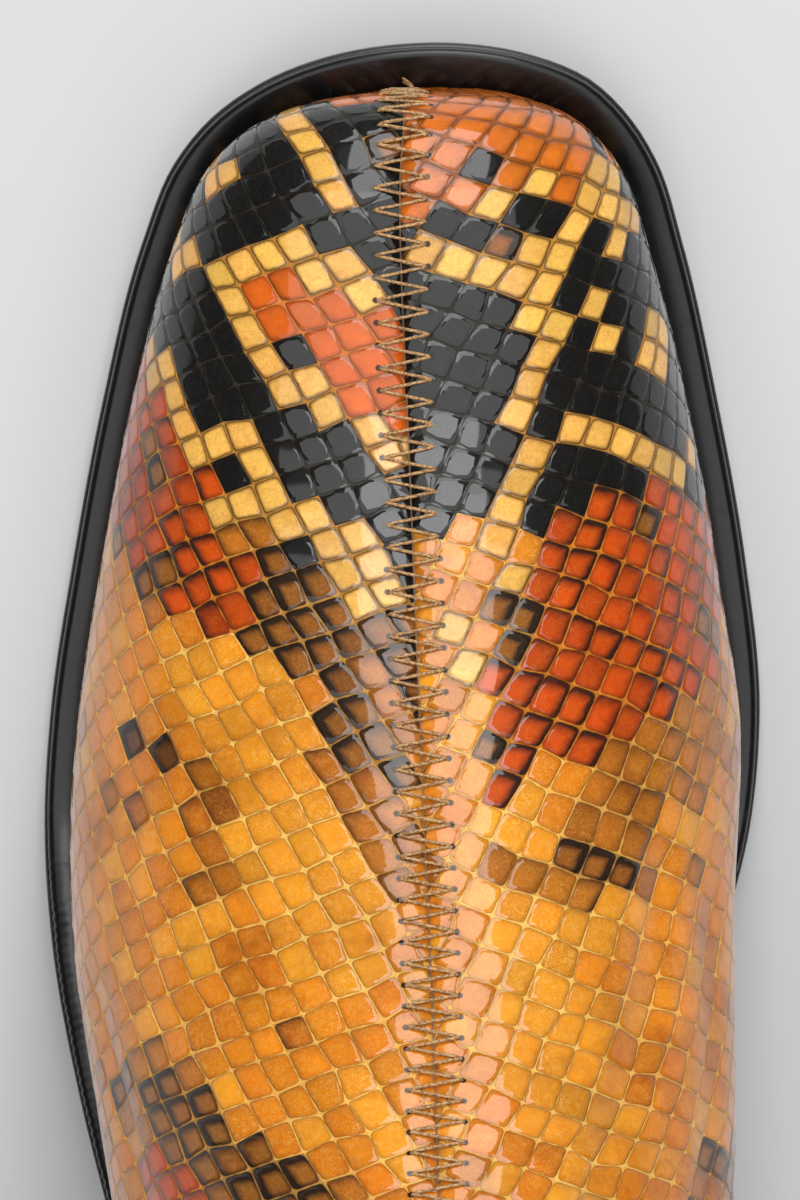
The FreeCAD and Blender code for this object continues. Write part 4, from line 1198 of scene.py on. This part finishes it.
def stack_finish():
    """Inked stacked leather: fine horizontal layers, brown showing through the black."""
    stack = Finish("heel_stack_leather", Coat_Weight=0.5, Coat_Roughness=0.18)
    layers = stack.noise(260, 5, stretch=(0.12, 0.12, 3.5), rough=0.7)
    colour = stack.mix(layers.ramp(0.45, 0.75), rgb(22, 17, 14), rgb(66, 44, 28))
    stack.set(Base_Color=colour, Roughness=0.34 + layers * 0.2)
    return stack.bump(layers, 0.00015)


def rubber_finish():
    rubber = Finish("heel_rubber", Coat_Weight=0.05)
    grit = rubber.noise(900, 4)
    tread = rubber.noise(60, 3)
    rubber.set(Base_Color=rubber.mix(tread, rgb(20, 20, 20), rgb(40, 39, 38)),
               Roughness=0.6 + grit * 0.25)
    return rubber.bump(grit, 0.0001)


STACK, RUBBER = stack_finish(), rubber_finish()
LAYERS = [("heel_cap", 0, CAP, 0.1, RUBBER, "heel_rubber")]
for number in range(LIFTS):
    bottom = CAP + number * LIFT
    LAYERS.append((f"heel_lift_{number + 1}", bottom, bottom + LIFT, (-0.08, 0.06)[number % 2],
                   STACK, "heel_stack"))
LAYERS.append(("heel_seat_lift", CAP + LIFTS * LIFT, HEEL_TOP + 3, 0.02, STACK, "heel_stack"))
for node, bottom, top, grow, finish, slot in LAYERS:
    piece = heel_layer(f"{node}_layer", bottom, top, grow, finish, node == "heel_seat_lift")
    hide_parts(node)
    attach(piece, "boot")
print("heel layers:", len(LAYERS))

# %% [markdown]
# ## Collar binding and back strip
#
# The raw top edges of leather and lining are bound with a folded strip of black leather, and a narrow
# strip covers the back seam.  Both are profiles carried along the upper's own surface: the function
# that shaped the panels also places them, so they can't float or sink.

# %% Bindings and back strip


def black_leather():
    """Plain black box leather: fine grain, soft sheen, worn a little brown in patches."""
    leather = Finish("black_leather", Coat_Weight=0.25, Coat_Roughness=0.3)
    pores = leather.noise(1500, 4, rough=0.6)
    creases = leather.noise(380, 6, rough=0.7, kind="RIDGED_MULTIFRACTAL")
    worn = leather.noise(90, 3).ramp(0.5, 0.75)
    colour = leather.mix(worn * 0.5, rgb(20, 18, 17), rgb(46, 36, 30))
    leather.set(Base_Color=colour, Roughness=0.38 + pores * 0.2)
    return leather.bump(pores * 0.6 + creases * 0.4, 0.00016)


BLACK_LEATHER = black_leather()
COLLAR_HEIGHT, STATION_RISE = 2.6, 40
BINDING_MIDDLE, BINDING_HALF = 1.75, 2.25
BINDING_FOOT, BINDING_SQUARENESS = 0.3, 0.7


def carried(name, rows, finish, closed_profile=True):
    """A mesh from rows of profile points in millimetres, capped at both ends."""
    rows = np.asarray(rows)
    count, columns = rows.shape[:2]
    faces = [(i * columns + j, i * columns + (j + 1) % columns,
              (i + 1) * columns + (j + 1) % columns, (i + 1) * columns + j)
             for i in range(count - 1) for j in range(columns if closed_profile else columns - 1)]
    if closed_profile:
        faces += [tuple(range(columns)), tuple((count - 1) * columns + j for j in range(columns))]
    piece = mesh_object(name, rows.reshape(-1, 3) * MM, faces, [finish.material])
    return face_out(piece) if closed_profile else piece


for name, side in SIDES.items():
    rows = []
    for g in np.linspace(0, 1, 90):
        angles = np.linspace(0, math.pi, 9)
        depth = BINDING_MIDDLE - BINDING_HALF * np.cos(angles)
        rise = BINDING_FOOT + (COLLAR_HEIGHT - BINDING_FOOT) * np.sin(angles) ** BINDING_SQUARENESS
        depth = np.append(depth, [BINDING_MIDDLE + BINDING_HALF, BINDING_MIDDLE - BINDING_HALF])
        rise = np.append(rise, [0.1, 0.1])
        rows.append(boot_point(side, float(top_station(g)) + rise / STATION_RISE, g, depth, SEAM_GAP))
    binding = carried(f"{name}_binding", rows, BLACK_LEATHER)
    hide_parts(f"{name}_collar_binding")
    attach(binding, "boot")

STRIP_UNDER, STRIP_FACE = -0.1, -1.3
STRIP_EDGE = [(6.5, STRIP_UNDER), (6.45, -0.8), (5.9, -1.25), (3, STRIP_FACE)]
STRIP_STITCH_LINE = 5.0


def back_strip_place(across, station, depth):
    """A place on the back strip: across is signed, positive on the lateral side."""
    side = LATERAL if across >= 0 else MEDIAL
    small = np.linalg.norm(boot_point(side, station, 1) - boot_point(side, station, 0.97))
    return boot_point(side, station, 1 - 0.03 * abs(across) / small, depth)


strip_stations = np.linspace(HEEL_STATION + 0.1, float(top_station(1)) - 0.1, 70)
strip_profile = (STRIP_EDGE + [(0, STRIP_FACE)] + [(-across, depth) for across, depth in
                                                   reversed(STRIP_EDGE)]
                 + [(across, STRIP_UNDER) for across in (-3, 0, 3)])
back_strip = carried("back_strip_leather",
                     [[back_strip_place(a, s, d) for a, d in strip_profile]
                      for s in strip_stations], BLACK_LEATHER)
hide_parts("back_strip")
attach(back_strip, "boot")
back_run = Sheet.run(boot_point(LATERAL, strip_stations, 1))
back_stitches = []
for edge in (-STRIP_STITCH_LINE, STRIP_STITCH_LINE):
    back_stitches += stitch_row(
        lambda d, h, edge=edge: back_strip_place(edge, float(np.interp(d, back_run, strip_stations)),
                                                 STRIP_FACE - h), back_run[-1])
thread_object("back_strip_stitches", back_stitches)
print("stitches on the back strip:", len(back_stitches))

# %% [markdown]
# ## Pull straps
#
# Each pull strap is one band of leather.  Its ends are sewn to the shaft, outside and inside, and its
# loop stands free above the collar; on the real boot it swings when a finger pulls it.  Here one band
# replaces three CAD pieces.

# %% Pull straps
STRAP_AROUND, STRAP_WIDTH, STRAP_THICK = 0.5, 24, 2
STRAP_TOP_STATION = float(top_station(STRAP_AROUND)) - 0.1
OUTER_DEPTH, INNER_DEPTH = -1.2, 4.7
OUTER_LEG, INNER_LEG = 56, 28
LOOP_TOP, LOOP_RADIUS = 341, 7.5
HINGE_Z, BEND = 319.5, 3.5
STRAP_COLUMNS = 9
STITCH_LINE, STITCH_MARGIN, CROSS_ROW_LENGTH = 0.82, 2, 20
CROSS_ROWS_FROM_ENDS = (2.5, 5)
OUTER_LEG_ROWS, INNER_LEG_ROWS, LOOP_ROWS = 15, 8, 17


def strap_finish():
    """Cognac strap leather in cloudy tones of brown."""
    leather = Finish("strap_leather", Coat_Weight=0.45, Coat_Roughness=0.15)
    pores = leather.noise(1300, 4)
    cloud = leather.noise(120, 4)
    colour = leather.mix(cloud, rgb(112, 58, 18), rgb(176, 102, 34))
    leather.set(Base_Color=colour, Roughness=0.34 + pores * 0.15)
    return leather.bump(pores, 0.00012)


STRAP_LEATHER = strap_finish()


def strap_path(side):
    """Rows of the strap's middle surface from the outer end, over the loop, to the inner end."""
    rise = np.linalg.norm(boot_point(side, TOP_STATION, 0.5) - boot_point(side, TOP_STATION - 1, 0.5))
    ends = boot_point(side, STRAP_TOP_STATION, np.array([0.45, 0.55]))
    reach = 0.1 * STRAP_WIDTH / 2 / np.linalg.norm(ends[1] - ends[0])
    across = np.linspace(-1, 1, STRAP_COLUMNS)
    outer = boot_point(side, STRAP_TOP_STATION, STRAP_AROUND, -0.2)
    inner = boot_point(side, STRAP_TOP_STATION, STRAP_AROUND, 3.7)
    middle_x, middle_y = (outer[0] + inner[0]) / 2, outer[1]
    radius = LOOP_RADIUS - STRAP_THICK / 2
    rows = []
    for station in STRAP_TOP_STATION - np.linspace(1, 0, OUTER_LEG_ROWS) * OUTER_LEG / rise:
        rows.append(boot_point(side, station, STRAP_AROUND + reach * across, OUTER_DEPTH))
    for angle in np.linspace(0, math.pi, LOOP_ROWS):
        x = middle_x + side * radius * math.cos(angle)
        z = LOOP_TOP - LOOP_RADIUS + radius * math.sin(angle)
        rows.append(np.stack([np.full(STRAP_COLUMNS, x), middle_y + STRAP_WIDTH / 2 * across,
                              np.full(STRAP_COLUMNS, z)], 1))
    for station in STRAP_TOP_STATION - np.linspace(0, 1, INNER_LEG_ROWS) * INNER_LEG / rise:
        rows.append(boot_point(side, station, STRAP_AROUND + reach * across, INNER_DEPTH))
    return np.array(rows), Vector((middle_x, middle_y, HINGE_Z)) * MM


def applied(piece):
    """Replaces a piece's mesh by the result of its modifiers."""
    bpy.context.view_layer.update()
    result = bpy.data.meshes.new_from_object(piece.evaluated_get(
        bpy.context.evaluated_depsgraph_get()))
    piece.modifiers.clear()
    piece.data = result
    return piece


for name, side in SIDES.items():
    rows, hinge = strap_path(side)
    strap = carried(f"{name}_pull_strap", rows, STRAP_LEATHER, closed_profile=False)
    if side == MEDIAL:
        strap.data.flip_normals()
    wall = strap.modifiers.new("thickness", "SOLIDIFY")
    wall.thickness, wall.offset = STRAP_THICK * MM, 0
    soften = strap.modifiers.new("softened edge", "BEVEL")
    soften.width, soften.segments, soften.limit_method = 0.0005, 2, "ANGLE"
    smooth = strap.modifiers.new("smooth", "SUBSURF")
    smooth.levels = smooth.render_levels = 1
    applied(strap)
    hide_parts(*(f"{name}_strap_{part}" for part in ("outer_leg", "inner_leg", "loop")))
    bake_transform(strap)
    legs = rows[:OUTER_LEG_ROWS]
    lengths = Sheet.run(legs[:, STRAP_COLUMNS // 2])

    def on_leg(distance, height, share, legs=legs, lengths=lengths, side=side):
        column = STRAP_COLUMNS // 2 * (1 + share)
        low, high = legs[:, int(math.floor(column))], legs[:, int(math.ceil(column))]
        line = low + (high - low) * (column - math.floor(column))
        place = np.array([np.interp(distance, lengths, line[:, axis]) for axis in range(3)])
        return place + np.array([side * (STRAP_THICK / 2 + height), 0, 0])

    stitches = []
    for share in (-STITCH_LINE, STITCH_LINE):
        stitches += stitch_row(lambda d, h, share=share: on_leg(d + STITCH_MARGIN, h, share),
                               lengths[-1] - 3 * STITCH_MARGIN)
    low_row, high_row = CROSS_ROWS_FROM_ENDS
    for row in (low_row, lengths[-1] - high_row):
        stitches += stitch_row(
            lambda d, h, row=row: on_leg(row, h, -0.8 + 1.6 * d / CROSS_ROW_LENGTH), CROSS_ROW_LENGTH)
    thread_object(f"{name}_strap_stitches", stitches)
    print(f"{name} strap: {len(strap.data.polygons)} faces, hinge {tuple(round(v, 4) for v in hinge)}")

# %% [markdown]
# ## Finishes of the frame's own pieces
#
# The pieces inside the boot keep their CAD shapes: their sizes are right and little of them shows.
# Each still gets a finish with the right grain, because the lining and the sock lining can be seen
# down the shaft, and the others when the boot is taken apart.

# %% Inside finishes


def grained(name, low, high, scale, depth, rough=0.6, stretch=(1, 1, 1), **constants):
    """Two tones mixed by grain, with the same grain as relief."""
    finish = Finish(name, **constants)
    grain = finish.noise(scale, 5, stretch=stretch, rough=0.62)
    patches = finish.noise(scale / 12, 3)
    tone = finish.mix((grain * 0.6 + patches * 0.5).least(1.0), rgb(*low), rgb(*high))
    finish.set(Base_Color=tone, Roughness=rough + grain * 0.15)
    return finish.bump(grain, depth)


LINING = grained("lining_leather", (168, 128, 84), (206, 170, 122), 900, 0.0001)
STIFFENER = grained("stiffener_board", (190, 178, 150), (216, 206, 184), 1200, 0.00008, 0.8)
TAPE = grained("stay_tape_weave", (200, 196, 184), (226, 222, 212), 1600, 0.0001, 0.85,
               stretch=(1, 1, 2.5))
SOCK = grained("sock_leather", (150, 104, 60), (184, 138, 88), 700, 0.00015, 0.55)
RAW_SOLE = grained("raw_sole_leather", (182, 140, 92), (210, 172, 124), 600, 0.00012, 0.7)
CORK = grained("cork_filler", (134, 92, 52), (196, 150, 98), 420, 0.0003, 0.85)
STEEL = grained("shank_steel", (150, 152, 156), (190, 192, 196), 300, 0.00002, 0.28,
                stretch=(6, 0.3, 6), Metallic=1.0)
NODE_FINISHES = {
    "lateral_lining": LINING, "medial_lining": LINING, "toe_puff": STIFFENER,
    "heel_counter": STIFFENER, "front_stay_tape": TAPE, "back_stay_tape": TAPE,
    "insole_rib": RAW_SOLE, "bottom_filler": CORK, "insole": RAW_SOLE, "sock_lining": SOCK,
    "shank": STEEL, "heel_nails": STEEL}
for node, finish in NODE_FINISHES.items():
    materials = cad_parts[node].data.materials
    materials.clear()
    materials.append(finish.material)
print("CAD pieces with a finish:", len(NODE_FINISHES))

# %% [markdown]
# ## Floor, light and camera
#
# The boot stands on a plain pale floor.  Varnish shows its lamps, so the lamps' shapes matter: a long
# soft box hangs over the boot, a narrower one leans in front of the toe, and the rest of the room is
# dim.  The camera looks almost straight down, with the toe at the top of the picture.

# %% Stage
FLOOR_HALF = 12.0


def floor_finish():
    paper = Finish("floor_paper", Roughness=0.9)
    tone = paper.noise(3, 2)
    return paper.set(Base_Color=paper.mix(tone, (0.655, 0.66, 0.665, 1), (0.67, 0.675, 0.68, 1)))


floor = mesh_object("floor", [(-FLOOR_HALF, -FLOOR_HALF, 0), (FLOOR_HALF, -FLOOR_HALF, 0),
                              (FLOOR_HALF, FLOOR_HALF, 0), (-FLOOR_HALF, FLOOR_HALF, 0)],
                    [(0, 1, 2, 3)], [floor_finish().material], smooth=False)


def aim(thing, place, target, up):
    """Puts a lamp or camera at a place, looking at a target, with up upwards in its picture."""
    back = (Vector(place) - Vector(target)).normalized()
    right = Vector(up).cross(back).normalized()
    turn = Matrix((right, back.cross(right), back)).transposed()
    thing.matrix_world = Matrix.Translation(Vector(place)) @ turn.to_4x4()
    return thing


def soft_box(name, place, target, width, length, watts, up=(0, 1, 0)):
    lamp = bpy.data.lights.new(name, "AREA")
    lamp.shape, lamp.size, lamp.size_y, lamp.energy = "RECTANGLE", width, length, watts
    thing = bpy.data.objects.new(name, lamp)
    bpy.context.scene.collection.objects.link(thing)
    return aim(thing, place, target, up)


soft_box("overhead_box", (0.02, 0.05, 1.05), (0.02, 0.05, 0), 1.3, 1.2, 9)
soft_box("front_box", (-0.12, -1.15, 1.05), (-0.02, 0, 0.06), 0.7, 1.5, 18, up=(0, 0, 1))
room = bpy.data.worlds.new("room")
room.use_nodes = True
room.node_tree.nodes["Background"].inputs["Color"].default_value = (0.93, 0.95, 1, 1)
room.node_tree.nodes["Background"].inputs["Strength"].default_value = 0.12
bpy.context.scene.world = room
bpy.context.scene.view_settings.view_transform = "Standard"

SENSOR = 36
CAMERA_DISTANCE, CAMERA_ELEVATION = 0.75, math.radians(82)
TARGET = Vector((0.0003, -0.063, 0.01))
PICTURE_HEIGHT = 0.166
camera_data = bpy.data.cameras.new("camera")
camera_data.sensor_width = SENSOR
camera_data.lens = SENSOR * CAMERA_DISTANCE / PICTURE_HEIGHT
camera = bpy.data.objects.new("camera", camera_data)
bpy.context.scene.collection.objects.link(camera)
view = Vector((0, -math.cos(CAMERA_ELEVATION), math.sin(CAMERA_ELEVATION)))
aim(camera, TARGET + view * CAMERA_DISTANCE, TARGET, (0, -1, 0))
bpy.context.scene.camera = camera
print(f"lens {camera_data.lens:.0f} mm")
